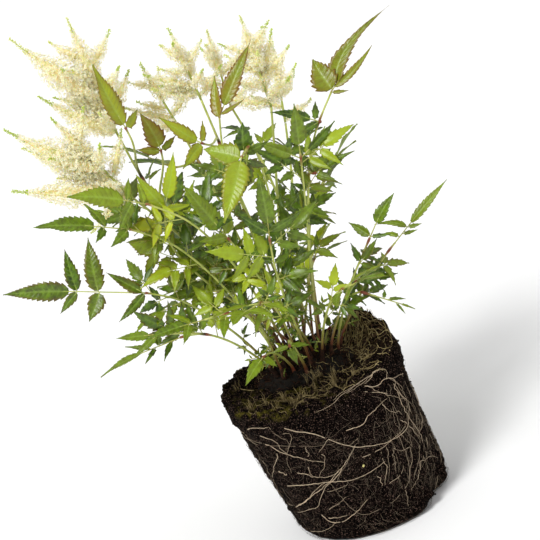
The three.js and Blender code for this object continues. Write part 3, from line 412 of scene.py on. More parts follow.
def drawn_leaflets(length, last, pairs, draw):
    """Leaflets of a rule, the last one first."""
    end = length - last
    leaflets = [leaflet(end, 0, 0, last, draw)]
    for i in range(pairs):
        u = end - last * (BLADE["first_pair"] + i * BLADE["pair_gap"])
        for hand in (1, -1):
            angle = hand * math.radians(BLADE["spread"] + mix(*BLADE["stray"], draw()))
            size = last * mix(*BLADE["pair_size"], draw())
            v = hand * BLADE["strip"] * 0.7
            leaflets.append(leaflet(u + hand * BLADE["stagger"], v, angle, size, draw))
    return leaflets


def given_leaflets(rows, size, draw):
    """Leaflets of a table's rows, the last one first."""
    leaflets = []
    for i, (u, angle, length, width, *sweep) in enumerate(rows):
        v = math.copysign(BLADE["strip"], angle) if i else 0
        leaflets.append(leaflet(u, v, math.radians(angle), length * size, draw, width, *sweep))
    return leaflets


def make_branch(origin, out, up, leaflets):
    normal = square_to(up, out)
    return dict(origin=origin, out=out, side=np.cross(normal, out), normal=normal, end=leaflets[0]["u"],
                leaflets=leaflets)


def in_branch(branch, uvz):
    """Points [u, v, z] of a branch's plane in the plant."""
    axes = np.stack([branch["out"], branch["side"], branch["normal"]])
    return branch["origin"] + np.asarray(uvz) @ axes


def on_leaflet(leaf, s, t):
    """Points of a leaflet at s along its rib and t across, as [u, v, z] of its branch."""
    bow = s ** 2 / leaf["length"]
    z = leaf["roll"] * t + leaf["fold"] * np.abs(t) - leaf["arch"] * bow
    across = t + leaf["sweep"] * bow
    c, d = math.cos(leaf["angle"]), math.sin(leaf["angle"])
    return np.stack([leaf["u"] + c * s - d * across, leaf["v"] + d * s + c * across, z], axis=-1)


# Tries of the part at a free place for a branch: roll and size at a leaf's end, and spread in degrees,
# tilt and size at its sides.
END_TRIES = [(0, 1), (0.35, 1), (-0.35, 1), (0.7, 1), (-0.7, 1), (0, 0.85), (0.5, 0.85), (-0.5, 0.85),
             (1, 0.85), (-1, 0.85), (0, 0.7), (0.6, 0.7), (-0.6, 0.7)]
SIDE_TRIES = [(52, 0, 1), (52, 0.3, 1), (52, -0.3, 1), (68, 0, 1), (38, 0.2, 1), (68, 0.4, 1),
              (80, -0.3, 1), (52, 0.6, 0.85), (68, -0.5, 0.85), (84, 0.3, 0.85), (40, -0.3, 0.75),
              (60, 0.1, 0.7), (75, -0.1, 0.6)]


def end_branches(leaf, seed):
    node, tip = vec(*leaf["node"]), vec(*leaf["tip"])
    out = unit(tip - node)
    for roll, size in END_TRIES:
        draw = seeded(seed)
        up = turned(square_to(vec(*leaf["up"]), out), out, roll)
        if "blades" in leaf:
            leaflets = given_leaflets(leaf["blades"], size, draw)
        else:
            last, pairs, _ = leaf["rule"]
            leaflets = drawn_leaflets(np.linalg.norm(tip - node), last * size, pairs, draw)
        yield make_branch(node, out, up, leaflets)


def side_branches(leaf, hand, seed):
    node, tip = vec(*leaf["node"]), vec(*leaf["tip"])
    main = unit(tip - node)
    up = square_to(vec(*leaf["up"]), main)
    last, _, side = leaf["rule"]
    for spread, tilt, size in SIDE_TRIES:
        out = turned(turned(main, up, hand * math.radians(spread)), main, hand * tilt)
        length = last * side * size
        leaflets = drawn_leaflets(length * (1 + BLADE["side_rib"]), length, 0, seeded(seed))
        yield make_branch(node, out, turned(up, main, hand * tilt), leaflets)


def confirmed_branch(node, tries):
    """The try whose leaflet tips are vertices of the node, or None where the CAD has none."""
    for branch in tries:
        tips = [in_branch(branch, on_leaflet(leaf, leaf["length"], 0.0) + [0, 0, BLADE["half_thick"]])
                for leaf in branch["leaflets"]]
        if nearest(node, np.array(tips)).max() < MET:
            return branch
    return None


# Leaflets that overlap their neighbours, which the part's fused outline can't: what differs from it.
OVERLAPS = {("top_right", 0): dict(u=8, angle=math.radians(45), length=53, width=16.5, sweep=-1.0),
            ("top_right", 2): dict(width=22), ("bronze", 0): dict(width=13.5),
            ("bronze", 1): dict(width=10.5), ("high_left", 0): dict(width=16.5),
            ("bronze_left", 0): dict(width=16.5)}


def leaf_branches(name, leaf, seed):
    """The branches that a leaf has in the CAD."""
    owner = owner_of(name)
    tries = [end_branches(leaf, seed)]
    if "rule" in leaf:
        tries += [side_branches(leaf, hand, seed + SEEDS["side"] + SEEDS["hand"] * hand) for hand in (1, -1)]
    for branch in filter(None, (confirmed_branch(owner, attempts) for attempts in tries)):
        for k, blade in enumerate(branch["leaflets"]):
            blade.update(OVERLAPS.get((name, k), {}))
        yield dict(branch, owner=owner, leaf=name)


# ---------------------------------------------------------------- spires of the panicles


def spire_half(t):
    return np.sin(np.pi * t ** 0.75) ** 0.9


def spire_path(start, tip, lift):
    """A spire's path, which hangs below its chord by the share lift of its length."""
    length = np.linalg.norm(tip - start)
    along = unit(tip - start)
    near = start + along * SPIRE["leave"] * length - UP * lift * length
    far = tip - along * SPIRE["arrive"] * length - UP * lift * length
    return bezier(start, near, far, tip, SPIRE["steps"])


# Tries of the part at a free place for a filling spire: further turn and size.
SPIRE_TRIES = [(0, 1), (0.4, 1), (-0.4, 1), (0.8, 0.9), (-0.8, 0.9), (0.3, 0.7), (-0.3, 0.7)]


def filling_spire(node, start, axis, angle, turn, length):
    """The spire that the CAD has at one of the tries, or None."""
    for more, size in SPIRE_TRIES:
        out = turned(any_square(axis), axis, turn + more)
        way = axis * math.cos(angle) + out * math.sin(angle)
        path = spire_path(start, start + way * length * size, FILLING["lift"])
        if nearest(node, path[-1:])[0] < MET:
            return dict(path=path, width=length * (SPIRE["slim"] + 0.01) * size)
    return None


def grow_panicle(plume):
    """A panicle's node, the lower half of its axis, and its spires as paths and widths."""
    name, base, tip, reach, fill, turn, spires = plume
    node = f"plume_head_{name}"
    base, tip = vec(*base), vec(*tip)
    height = np.linalg.norm(tip - base)
    axis = unit(tip - base)

    def at(share):
        return base + axis * (GAP + 0.1 + share * (height - 1))

    leader = np.linspace(at(LEADER["start"]), at(1), SPIRE["steps"] + 1)
    made = [dict(path=leader, width=height * LEADER["width"])]
    for x, y, z, share in spires:
        path = spire_path(at(share), vec(x, y, z), SPIRE["lift"])
        made.append(dict(path=path, width=np.linalg.norm(path[-1] - path[0]) * SPIRE["slim"]))
    for i in range(fill):
        share = mix(FILLING["low"], FILLING["high"], i / (fill - 1))
        length = reach * mix(1, FILLING["shrink"], share)
        angle = math.radians(mix(*FILLING["angles"], share))
        made.append(filling_spire(node, at(share), axis, angle, turn + i * GOLDEN_TURN, length))
    return dict(name=name, node=node, axis=(at(0), at(0.5)), spires=[spire for spire in made if spire])


# ---------------------------------------------------------------- meshes

# Places in a piece's list of materials: of leaves and all stems, of panicles, of the ball, and of the crown,
# whose mound has the first.
UPPER, LOWER, STEM_SKIN = range(3)
PETALS, BUDS = range(2)
SOIL, STRAW, GRAIN = range(3)
SHEATHS = 1


class Soup:
    """Points, faces and tones gathered for one mesh. Each batch of faces has one material."""

    def __init__(self):
        self.points, self.tones, self.faces, self.count = [], [], [], 0

    def add(self, points, faces, tone, skin=0, smooth=True):
        """faces: as add_faces has them, counted from the first of the points; tone: four numbers for each
        point or for all."""
        points = np.reshape(points, (-1, 3))
        self.points.append(points)
        self.tones.append(np.broadcast_to(np.asarray(tone, float), (len(points), 4)))
        self.add_faces(np.asarray(faces) + self.count, skin, smooth)
        self.count += len(points)

    def add_faces(self, faces, skin=0, smooth=True):
        """faces: rows of point numbers, all of one length."""
        self.faces.append((faces, skin, smooth))

    def add_rings(self, points, columns, tone):
        """A closed skin through rings of points, from its lowest ring to the one in the middle of its top."""
        rings, first = len(points) // columns, self.count
        self.add(points, grid_faces(rings, columns), tone)
        self.add_faces(first + np.arange(columns)[None, ::-1])
        self.add_faces(first + (rings - 1) * columns + np.arange(columns)[None])

    def build(self, name, materials, slot):
        """The piece, which rides on the root body."""
        mesh = bpy.data.meshes.new(name)
        corners = np.concatenate([faces.ravel() for faces, _, _ in self.faces])
        counts = [len(faces) for faces, _, _ in self.faces]
        sizes = np.repeat([faces.shape[1] for faces, _, _ in self.faces], counts)
        skins = np.repeat([skin for _, skin, _ in self.faces], counts)
        smooths = np.repeat([smooth for _, _, smooth in self.faces], counts)
        mesh.vertices.add(self.count)
        mesh.vertices.foreach_set("co", (np.vstack(self.points) * MM).astype(np.float32).ravel())
        mesh.loops.add(len(corners))
        mesh.loops.foreach_set("vertex_index", corners.astype(np.int32))
        mesh.polygons.add(len(sizes))
        mesh.polygons.foreach_set("loop_start", (np.cumsum(sizes) - sizes).astype(np.int32))
        mesh.polygons.foreach_set("material_index", skins.astype(np.int32))
        mesh.polygons.foreach_set("use_smooth", smooths)
        tone = mesh.attributes.new("tone", "FLOAT_COLOR", "POINT")
        tone.data.foreach_set("color", np.vstack(self.tones).astype(np.float32).ravel())
        mesh.update(calc_edges=True)
        mesh.validate()
        for material in materials:
            mesh.materials.append(material)
        piece = bpy.data.objects.new(name, mesh)
        bpy.context.scene.collection.objects.link(piece)
        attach(piece, "root")
        return piece


def grid_faces(rows, columns, closed=True):
    """Quads between rows of points, each of the given length and closed in a ring or not."""
    i, j = np.meshgrid(np.arange(rows - 1), np.arange(columns if closed else columns - 1), indexing="ij")
    k = (j + 1) % columns
    return np.stack([i * columns + j, i * columns + k, (i + 1) * columns + k, (i + 1) * columns + j],
                    axis=-1).reshape(-1, 4)


def tubes(soup, paths, radii, tone, sides=5, skin=0):
    """Closed tubes along paths of equal point counts. tone: four numbers for all, or for each point."""
    paths = np.asarray(paths, float)
    if paths.ndim == 2:
        paths = paths[None]
    many, n, _ = paths.shape
    radii = np.broadcast_to(np.asarray(radii, float), (many, n))
    along = units(np.gradient(paths, axis=1))
    chord = paths[:, -1] - paths[:, 0]
    lean = np.where(np.abs(chord[:, :1]) < 0.7 * np.linalg.norm(chord, axis=1, keepdims=True),
                    vec(1, 0, 0), vec(0, 1, 0))[:, None]
    across = units(lean - along * (along * lean).sum(2, keepdims=True))
    third = np.cross(along, across)
    turn = np.arange(sides) / sides * 2 * np.pi
    ring = across[:, :, None] * np.cos(turn)[:, None] + third[:, :, None] * np.sin(turn)[:, None]
    points = paths[:, :, None] + ring * radii[:, :, None, None]
    if np.ndim(tone) > 1:
        tone = np.broadcast_to(np.reshape(tone, (-1, n, 1, 4)), (many, n, sides, 4)).reshape(-1, 4)
    start = np.arange(many)[:, None, None] * n * sides
    walls = (start + grid_faces(n, sides)).reshape(-1, 4)
    first = start[:, 0] + np.arange(sides)[::-1]
    last = start[:, 0] + (n - 1) * sides + np.arange(sides)
    base = soup.count
    soup.add(points, walls, tone, skin)
    soup.add_faces(np.vstack([first, last]) + base, skin)


def scatter(soup, points, faces, tones, spots, turns, sizes, shade, skin=0):
    """Copies of a small closed shape. turns: a 3x3 turn for each spot; sizes: one for each; shade: a value
    for each copy, which goes into the blue channel of the tone."""
    many, n = len(spots), len(points)
    placed = np.einsum("nk,mjk->mnj", points, turns) * np.reshape(sizes, (-1, 1, 1)) + spots[:, None]
    tone = np.broadcast_to(np.asarray(tones, float), (many, n, 4)).copy()
    tone[:, :, 2] = np.reshape(shade, (-1, 1))
    faces = (np.arange(many)[:, None, None] * n + np.asarray(faces)).reshape(-1, len(faces[0]))
    soup.add(placed, faces, tone.reshape(-1, 4), skin, smooth=False)


def turns_toward(ways, spin):
    """Turns that carry Z to each way, after a spin about Z."""
    z = units(ways)
    lean = np.where(np.abs(z[:, :1]) < 0.8, vec(1, 0, 0), vec(0, 1, 0))
    x = units(lean - z * (z * lean).sum(1, keepdims=True))
    y = np.cross(z, x)
    c, s = np.cos(spin)[:, None], np.sin(spin)[:, None]
    return np.stack([x * c + y * s, y * c - x * s, z], axis=2)


# ---------------------------------------------------------------- leaflets

# Tones of leaves: red is the pale lines of rib and veins, green the way from rib to edge, blue the youth
# and alpha how bronze the edge is. On stems red is the way from the foot, and green how ruddy they are.

# A leaflet's mesh: its columns from edge to edge, the gap between side veins, how light these are, and for
# each row of a vein how far out the edge reaches and how far ahead it leans, so that the saw teeth point to
# the tip.
FINE = dict(across=np.array([-1, -0.66, -0.28, -0.06, 0.06, 0.28, 0.66, 1]), vein_gap=3.7, veins=0.6,
            reach=np.array([1.09, 0.86, 0.93, 1.0]), lead=np.array([0.95, 0.1, 0, 0.35]))
PLAIN = dict(across=np.array([-1, -0.5, 0, 0.5, 1]), vein_gap=3.8, veins=0.25,
             reach=np.array([1.12, 0.82]), lead=np.array([0.95, 0]))
# Half of a leaflet's thickness and its least half width; the height of the quilts between its veins, and
# the half width from which they are full; the height of its wavy margin, how fast the waves follow each
# other, and a slow bend, by half width; how deep its rib lies, and how wide; and how wide its pale line is.
RELIEF = dict(thin=0.17, least=0.25, quilt=0.6, full_at=6, wave=0.1, waves=(9, 15), bend=(-0.04, 0.08),
              rib_depth=0.25, rib_width=0.09, line=0.12)


def leaflet_half(s):
    """A leaflet's profile at the share s of its length: widest before a third, then drawn out to a tip."""
    return 3.03 * s ** 0.55 * (1 - s) ** 1.25


def blade_rows(grade, leaf):
    """For each row of a leaflet: its share of the rib's length at the rib and at the edge, the edge's reach,
    and whether it lies on a side vein."""
    period = len(grade["reach"])
    rows = max(4, round(leaf["length"] / grade["vein_gap"])) * period
    k = np.arange(rows + 1)
    s = 0.985 * (k / rows) ** 0.95
    edge = np.clip(s + 0.11 * np.sin(np.pi * s) + grade["lead"][k % period] / rows, 0, 0.998)
    return s, edge, grade["reach"][k % period], (k % period == 0).astype(float)


def blade_form(leaf, grade, rng):
    """A leaflet's points in its branch, with its side veins sunk between low quilts and a wavy margin, and
    how much of its pale lines each point has."""
    half, flat = leaf["width"] / 2, grade["across"]
    s, edge, reach, on_vein = blade_rows(grade, leaf)
    across = np.abs(flat)
    along = s[:, None] + (edge - s)[:, None] * across
    wide = np.maximum(leaflet_half(np.clip(along, 1e-4, 1)), 0.06) * (1 + (reach - 1)[:, None] * across ** 3)
    uvz = on_leaflet(leaf, along * leaf["length"], np.maximum(half * wide, RELIEF["least"]) * flat)
    vein = on_vein[:, None] * np.ones(len(flat))
    lift = RELIEF["quilt"] - 2 * RELIEF["quilt"] * vein
    quilt = lift * np.minimum(across, 1 - across) * min(1, half / RELIEF["full_at"])
    wave = np.sin(s * rng.uniform(*RELIEF["waves"]) + rng.uniform(0, 6))[:, None]
    wave = wave * across ** 2 * np.sign(flat)
    rib_low = np.exp(-(flat / RELIEF["rib_width"]) ** 2) * RELIEF["rib_depth"]
    uvz[..., 2] += quilt + wave * half * RELIEF["wave"] - rib_low
    uvz[..., 2] += rng.uniform(*RELIEF["bend"]) * np.sin(s * 3)[:, None] * half
    rib = np.exp(-(flat / RELIEF["line"]) ** 2) * np.ones((len(s), 1))
    return uvz, np.maximum(vein * (1 - across ** 4) * grade["veins"], rib * (grade["veins"] + 0.4))


def add_blade(soup, branch, leaf, youth, rust, rng, grade):
    """A leaflet: an upper skin, a lower one, and the saw edge between them."""
    uvz, lines = blade_form(leaf, grade, rng)
    n, m = lines.shape
    tone = np.stack([lines, np.abs(grade["across"]) * np.ones((n, 1)), np.full_like(lines, youth),
                     np.full_like(lines, rust)], axis=-1)
    top = in_branch(branch, uvz + [0, 0, RELIEF["thin"]]).reshape(-1, 3)
    under = in_branch(branch, uvz - [0, 0, RELIEF["thin"]]).reshape(-1, 3)
    faces = grid_faces(n, m, closed=False)
    base = soup.count
    soup.add(np.vstack([top, under]), faces[:, ::-1], np.vstack([tone.reshape(-1, 4)] * 2), UPPER)
    soup.add_faces(faces + base + n * m, LOWER)
    ring = np.concatenate([np.arange(n) * m, (n - 1) * m + np.arange(1, m),
                           np.arange(n - 2, -1, -1) * m + m - 1, np.arange(m - 2, 0, -1)])
    after = np.roll(ring, -1)
    soup.add_faces(np.stack([ring, ring + n * m, after + n * m, after], axis=1) + base, UPPER)


# The slender ribs of a branch: radius in a fine branch and in a plain one, radii of a leaflet's own stalk
# and its share of the leaflet, and the length of leaflet from which a fine branch has fine ones.
RIB = dict(fine=0.62, plain=0.45, stalk=(0.45, 0.3), reach=0.16, fine_from=17)


def add_branch(soup, branch, youth, rust, rng, fine=True):
    """A branch's leaflets on the slender rib that carries them."""
    rib = in_branch(branch, [[u, 0, 0] for u in np.linspace(-0.5, branch["end"] + 1, 5)])
    tone = (0.85, 0.15 + 0.3 * rng.random(), rng.random(), 1)
    if branch["end"] > 2:
        thick = RIB["fine" if fine else "plain"]
        tubes(soup, rib, np.linspace(thick, thick * 0.7, 5), tone, 5, STEM_SKIN)
    for leaf in branch["leaflets"]:
        grade = FINE if fine and leaf["length"] > RIB["fine_from"] else PLAIN
        tint = np.clip([youth + rng.uniform(-0.12, 0.12), rust + rng.uniform(-0.1, 0.1)], 0.02, 1)
        add_blade(soup, branch, leaf, *tint, rng, grade)
        stalk = on_leaflet(leaf, np.linspace(-0.4, leaf["length"] * RIB["reach"], 3), np.zeros(3))
        stalk = in_branch(branch, stalk - [0, 0, 0.1])
        tubes(soup, stalk, np.linspace(*RIB["stalk"], 3), tone, 4, STEM_SKIN)


# Small leaves that clothe the flowering stalks and the leaves' own stems: from and to which share of a
# stem, how far apart, how often one is missing, the lengths of their last leaflets and of their bare
# stalks, and how low they may reach on the left side and elsewhere.
CLOTHING = [dict(low=0.38, high=0.96, step=0.08, missing=0.24, last=(17, 35), stalk=(4, 11),
                 left_floor=220, floor=166),
            dict(low=0.08, high=0.34, step=0.06, missing=0.45, last=(8, 16), stalk=(2, 6),
                 left_floor=143, floor=143)]
# By what that is multiplied on the stems that end on the left, in the middle and on the right of the plant.
SIDES = [dict(until=-50, missing=0.25, step=0.76, last=1.12, high=1),
         dict(until=55, missing=1, step=1, last=1, high=1),
         dict(until=200, missing=1.1, step=0.75, last=1, high=0.88)]
# How high a stem that is clothed ends, and how high its leaves may reach; how far they lean along the stem
# and away from the plant's middle, and stray along the stem; and the shape of their leaflets, with a
# second pair of them where the last one is long enough.
CLOTHED = dict(from_height=195, ceiling=346, along=0.45, away=0.4, stray=0.03, width=(0.33, 0.45),
               arch=(0.1, 0.4), two_pairs_from=26)
MIDDLE = vec(CROWN["x"], CROWN["y"], BALL["height"])


def clothing_leaf(foot, out, up, share, rule, more, rng):
    """A leaf of three or five leaflets on a short stalk, and how high its tip is."""
    last = rng.uniform(*rule["last"]) * mix(0.3, 1, share) * more["last"]
    pairs = 1 if last < CLOTHED["two_pairs_from"] else 2
    stalk = last * (BLADE["first_pair"] + (pairs - 1) * BLADE["pair_gap"]) + rng.uniform(*rule["stalk"])
    leaflets = drawn_leaflets(stalk + last, last, pairs, rng.random)
    for leaf in leaflets:
        leaf.update(width=leaf["length"] * rng.uniform(*CLOTHED["width"]), arch=rng.uniform(*CLOTHED["arch"]))
    return make_branch(foot, out, up, leaflets), (foot + out * (stalk + last))[2]


def clothing(stem, rule, rng):
    """The leaves that stand round a stem, out and up from the plant's middle."""
    count = 80
    path = smooth_path(stem["path"], count)
    if path[-1][2] < CLOTHED["from_height"]:
        return
    turn = rng.uniform(0, 6)
    more = next(side for side in SIDES if path[-1][0] < side["until"])
    floor = rule["left_floor" if more is SIDES[0] else "floor"]
    shares = np.arange(rule["low"], rule["high"] * more["high"], rule["step"] * more["step"])
    for i, share in enumerate(shares):
        if rng.random() < rule["missing"] * more["missing"]:
            continue
        stray = rng.uniform(-CLOTHED["stray"], CLOTHED["stray"])
        k = round((count - 1) * min(share + stray, 0.97))
        along = unit(path[k + 1] - path[k])
        away = unit((path[k] - MIDDLE) * [1, 1, 0.3])
        out = turned(any_square(along), along, turn + i * GOLDEN_TURN)
        out = unit(out + CLOTHED["along"] * along + CLOTHED["away"] * away)
        # More across the photograph than towards it, and with the upper side towards it.
        out = unit(out * [1, 0.6, 1] + [0, 0.35, 0])
        up = away * 0.7 + UP * 0.6 + [0, -0.4, 0] + rng.normal(0, 0.35, 3)
        branch, height = clothing_leaf(path[k], out, up, share, rule, more, rng)
        if floor < height < CLOTHED["ceiling"]:
            yield branch


# ---------------------------------------------------------------- skin and hairs of the stems

NEEDLE = np.array([[1, 0, 0], [-0.5, 0.87, 0], [-0.5, -0.87, 0], [0, 0, 1]])
NEEDLE_FACES = [[0, 2, 1], [0, 1, 3], [1, 2, 3], [2, 0, 3]]


def needles(soup, spots, ways, lengths, width, tone, shade, skin):
    """Slender three-sided hairs from spots along ways."""
    turns = turns_toward(ways, np.zeros(len(spots)))
    turns = turns * np.stack([np.full_like(lengths, width), np.full_like(lengths, width), lengths],
                             axis=1)[:, None]
    scatter(soup, NEEDLE, NEEDLE_FACES, np.tile(tone, (4, 1)), spots, turns, np.ones(len(spots)), shade, skin)


# A stem's mesh: points along it, its thickness by the part's and what share of that its end keeps, how far
# it swells at its foot and at a joint and over which length, over which share of the stem its foot is red
# and over which length a joint is, its hairs to the millimetre, and their lengths.
SKIN = dict(count=44, thick=0.88, shrink=0.66, foot=(0.9, 9), joint=(0.6, 3.2), ruddy=0.28, joint_red=5,
            hairs=0.7, hair=(0.7, 1.9))


def red_spots(name, stem):
    """Where a stem has a red joint, as distances along it: where it bears leaves, and at its fork."""
    length = path_length(stem["path"])
    spots = [leaf["on"][1] * length for leaf in LEAVES.values() if leaf.get("on", ("",))[0] == name]
    if not name.startswith("plume"):
        spots.append(length - np.linalg.norm(stem["path"][-1] - stem["path"][-2]))
    return length, spots


def add_stem(soup, name, stem, rng):
    """A stem: ruddy at its foot unless another stem bears it, with red joints and fine hairs."""
    count = SKIN["count"]
    path = smooth_path(stem["path"], count)
    length, joints = red_spots(name, stem)
    along = np.linspace(0, length, count)
    borne = name in LEAVES
    foot_red = (0 if borne else 1.0) * np.exp(-(along / (SKIN["ruddy"] * length)) ** 2)
    red = 0.1 + 0.25 * rng.random() + foot_red
    radius = stem["radius"] * SKIN["thick"] * np.linspace(1, SKIN["shrink"], count)
    swell, stretch = SKIN["joint"]
    for joint in joints:
        red = np.maximum(red, 1.2 * np.exp(-((along - joint) / SKIN["joint_red"]) ** 2))
        radius = radius * (1 + swell * np.exp(-((along - joint) / stretch) ** 2))
    if not borne:
        swell, stretch = SKIN["foot"]
        radius = radius * (1 + swell * np.exp(-(along / stretch) ** 2))
    red = np.clip(red, 0, 1)
    tone = np.stack([along / length, red, np.full(count, rng.random()), np.ones(count)], axis=1)
    tubes(soup, path, radius, tone, 7, STEM_SKIN)
    add_hairs(soup, path, radius, int(length * SKIN["hairs"]), rng)


def add_hairs(soup, path, radius, many, rng):
    """Fine hairs that stand off a stem, from a fifth of its length on."""
    count = len(path)
    spots = rng.integers(count // 5, count - 1, many)
    slide = rng.random((many, 1))
    after = path[np.minimum(spots + 1, count - 1)]
    places = path[spots] * (1 - slide) + after * slide
    ways = units(np.cross(after - path[spots - 1], rng.normal(size=(many, 3))))
    needles(soup, places + ways * radius[spots][:, None] * 0.8, ways, rng.uniform(*SKIN["hair"], many), 0.05,
            (0.9, 0.5, 0.5, 1), rng.random(many), STEM_SKIN)


# ---------------------------------------------------------------- florets


# A floret at size 1: its petals, and how far out and up one reaches, its half width and how it bows.
PETAL = dict(count=4, reach=2.5, rise=1.4, half=0.7, lift=0.2)


def kite(tip, half, lift):
    """A petal: a closed sliver of four faces from the origin to tip."""
    tip = np.asarray(tip, float)
    across = unit(np.cross(tip, UP)) * half
    middle = tip * 0.55 + UP * lift
    return np.array([[0, 0, 0], middle + across, tip, middle - across])


KITE_FACES = np.array([[0, 2, 1], [0, 3, 2], [0, 1, 3], [1, 2, 3]])


def floret_shape():
    """An open floret. The red channel runs from heart to tip."""
    points, faces, tones = [], [], []
    for turn in np.arange(PETAL["count"]) * 2 * math.pi / PETAL["count"]:
        tip = PETAL["reach"] * math.cos(turn), PETAL["reach"] * math.sin(turn), PETAL["rise"]
        faces.append(KITE_FACES + 4 * len(points))
        points.append(kite(tip, PETAL["half"], PETAL["lift"]))
        tones += [(0, 0, 0, 1), (0.6, 0, 0, 1), (1, 0, 0, 1), (0.6, 0, 0, 1)]
    return np.vstack(points), np.vstack(faces), np.array(tones)


FLORET = floret_shape()
BUD = np.array([[0.7, 0, 0], [0, 0.7, 0], [-0.7, 0, 0], [0, -0.7, 0], [0, 0, 1], [0, 0, -0.8]])
BUD_FACES = [[0, 1, 4], [1, 2, 4], [2, 3, 4], [3, 0, 4], [1, 0, 5], [2, 1, 5], [3, 2, 5], [0, 3, 5]]
BUD_TONES = np.array([[0.5, 1, 0, 1]] * 4 + [[1, 1, 0, 1], [0, 1, 0, 1]])


def along_path(path, t):
    """Points and directions at shares t of a path."""
    spots = np.linspace(0, 1, len(path))
    points = np.stack([np.interp(t, spots, path[:, k]) for k in range(3)], axis=1)
    ways = np.stack([np.interp(t, spots, np.gradient(path[:, k])) for k in range(3)], axis=1)
    return points, units(ways)


def round_axis(ways, turn):
    """Directions square to ways, at an angle round them."""
    return turns_toward(ways, turn)[:, :, 0]


# A spire's florets: how many to the square millimetre of its length by its width, how many of them are
# open, their size, the width of the core of shut ones, from which share and by how much the spire is
# drawn in, how far from its axis they stand and the least of that at its foot and at its tip, from which
# share it is in bud, the gap between its beads, how many spires have green tips, and how many florets
# have a stalk that shows.
FLORETS = dict(per_area=0.99, open=0.92, size=0.6, core=0.4, slim_from=0.45, slim=0.62, reach=(0.25, 1.12),
               least=(2.2, 0.9), tip=(0.78, 0.9), bead_gap=0.5, green=0.7, stalked=0.3)


def plume_half(t, tip):
    """The spire's profile, drawn in towards its tip, where the florets are still in bud."""
    slim = np.clip((t - FLORETS["slim_from"]) / (tip - FLORETS["slim_from"]), 0, 1)
    return spire_half(np.clip(t, 0.001, 0.999)) * (1 - FLORETS["slim"] * slim * slim * (3 - 2 * slim))


def spread_along(many, tip):
    """Shares along a spire, closer together where it is wider."""
    grid = np.linspace(0.02, tip + 0.02, 200)
    weight = np.cumsum(plume_half(grid, tip) + 0.1)
    return np.interp((np.arange(many) + 0.5) / many, weight / weight[-1], grid)


def add_spire(soup, spire, rng):
    """A spire: its twig, a core of shut florets, and the florets and buds round them."""
    count = 24
    path = smooth_path(spire["path"], count)
    tubes(soup, path, np.linspace(0.6, 0.3, count), (0.6, 0.1, rng.random(), 1), 5, STEM_SKIN)
    tip = rng.uniform(*FLORETS["tip"])
    rings = int(count * tip)
    half = spire["width"] * plume_half(np.linspace(0, tip, rings), tip) * FLORETS["core"]
    tubes(soup, path[:rings], np.maximum(half * rng.uniform(0.75, 1.2, rings), 0.4),
          (0.2, 0, 0.5 + 0.5 * rng.random(), 1), 8, PETALS)
    add_florets(soup, path, spire["width"], tip, rng)


def add_florets(soup, path, width, tip, rng):
    """Florets all round a spire's path, the last open ones at its share tip, and beads from there on."""
    length = path_length(path)
    beads = round(length * (1 - tip) / FLORETS["bead_gap"])
    t = np.concatenate([spread_along(int(length * width * FLORETS["per_area"]), tip),
                        tip + (1 - tip) * (np.arange(beads) + 1) / beads])
    many = len(t)
    girth = np.maximum(width * plume_half(t, tip), mix(*FLORETS["least"], t ** 2))
    heart, ways = along_path(path, t)
    out = round_axis(ways, np.arange(many) * GOLDEN_TURN + rng.normal(0, 0.35, many))
    reach = girth * rng.uniform(*FLORETS["reach"], many) ** 0.6
    spots = heart + out * reach[:, None] + rng.normal(0, 0.35, (many, 3)) * (1 - 0.7 * t)[:, None]
    turns = turns_toward(out + ways * 0.5 + rng.normal(0, 0.45, (many, 3)), rng.uniform(0, 6, many))
    is_open = (rng.random(many) < FLORETS["open"]) & (t < tip)
    shut = ~is_open
    shade = np.clip(rng.normal(0.5, 0.2, many), 0, 1)
    size = rng.uniform(0.75, 1.2, many)
    scatter(soup, *FLORET, spots[is_open], turns[is_open], size[is_open] * FLORETS["size"], shade[is_open],
            PETALS)
    green = (1 if rng.random() < FLORETS["green"] else 0.6) * t + 0.2 * (shade - 0.5)
    scatter(soup, BUD, BUD_FACES, BUD_TONES, spots[shut], turns[shut], size[shut], green[shut], BUDS)
    stalked = rng.random(many) < FLORETS["stalked"]
    root = (heart - ways * 1.4)[stalked]
    stalk = spots[stalked] - root
    needles(soup, root, stalk, np.linalg.norm(stalk, axis=1), 0.13, (0, 0, 0.5, 1), shade[stalked], PETALS)


def make_heads(materials):
    """The panicles. Each has its name's letter as its seed."""
    for panicle in PANICLES:
        rng = np.random.default_rng(ord(panicle["name"]))
        soup = Soup()
        axis = np.linspace(*panicle["axis"], 6)
        tubes(soup, axis, np.linspace(1.1, 0.8, 6), (0.7, 0.15, 0.5, 1), 7, STEM_SKIN)
        for spire in panicle["spires"]:
            add_spire(soup, spire, rng)
        head = soup.build(f"florets_{panicle['name']}", materials, "floret")
        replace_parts(head, panicle["node"])


# ---------------------------------------------------------------- leaves and their stems

# Youth (0 deep green, 1 yellow-green) and bronze at the edges, where a leaf differs from the rest.
TINTS = {"high_left": (0.6, 0.8), "bronze_left": (0.4, 1.0), "left_inner": (0.6, 0.4),
         "inner_left": (0.6, 0.72), "bronze": (0.35, 1.0), "front_high": (0.45, 0.45),
         "front_top": (0.1, 0.0), "top_right": (0.3, 0.85), "far_left": (0.02, 0.58),
         "centre_left": (0.35, 0.1)}


def clothe(soup, stem, rng):
    """Leaves on a stem, most of them deep green and a few young."""
    for rule in CLOTHING:
        for branch in clothing(stem, rule, rng):
            youth = 0.95 * rng.random() ** 3.5
            add_branch(soup, branch, youth, rng.uniform(-0.1, 0.6), rng, fine=False)


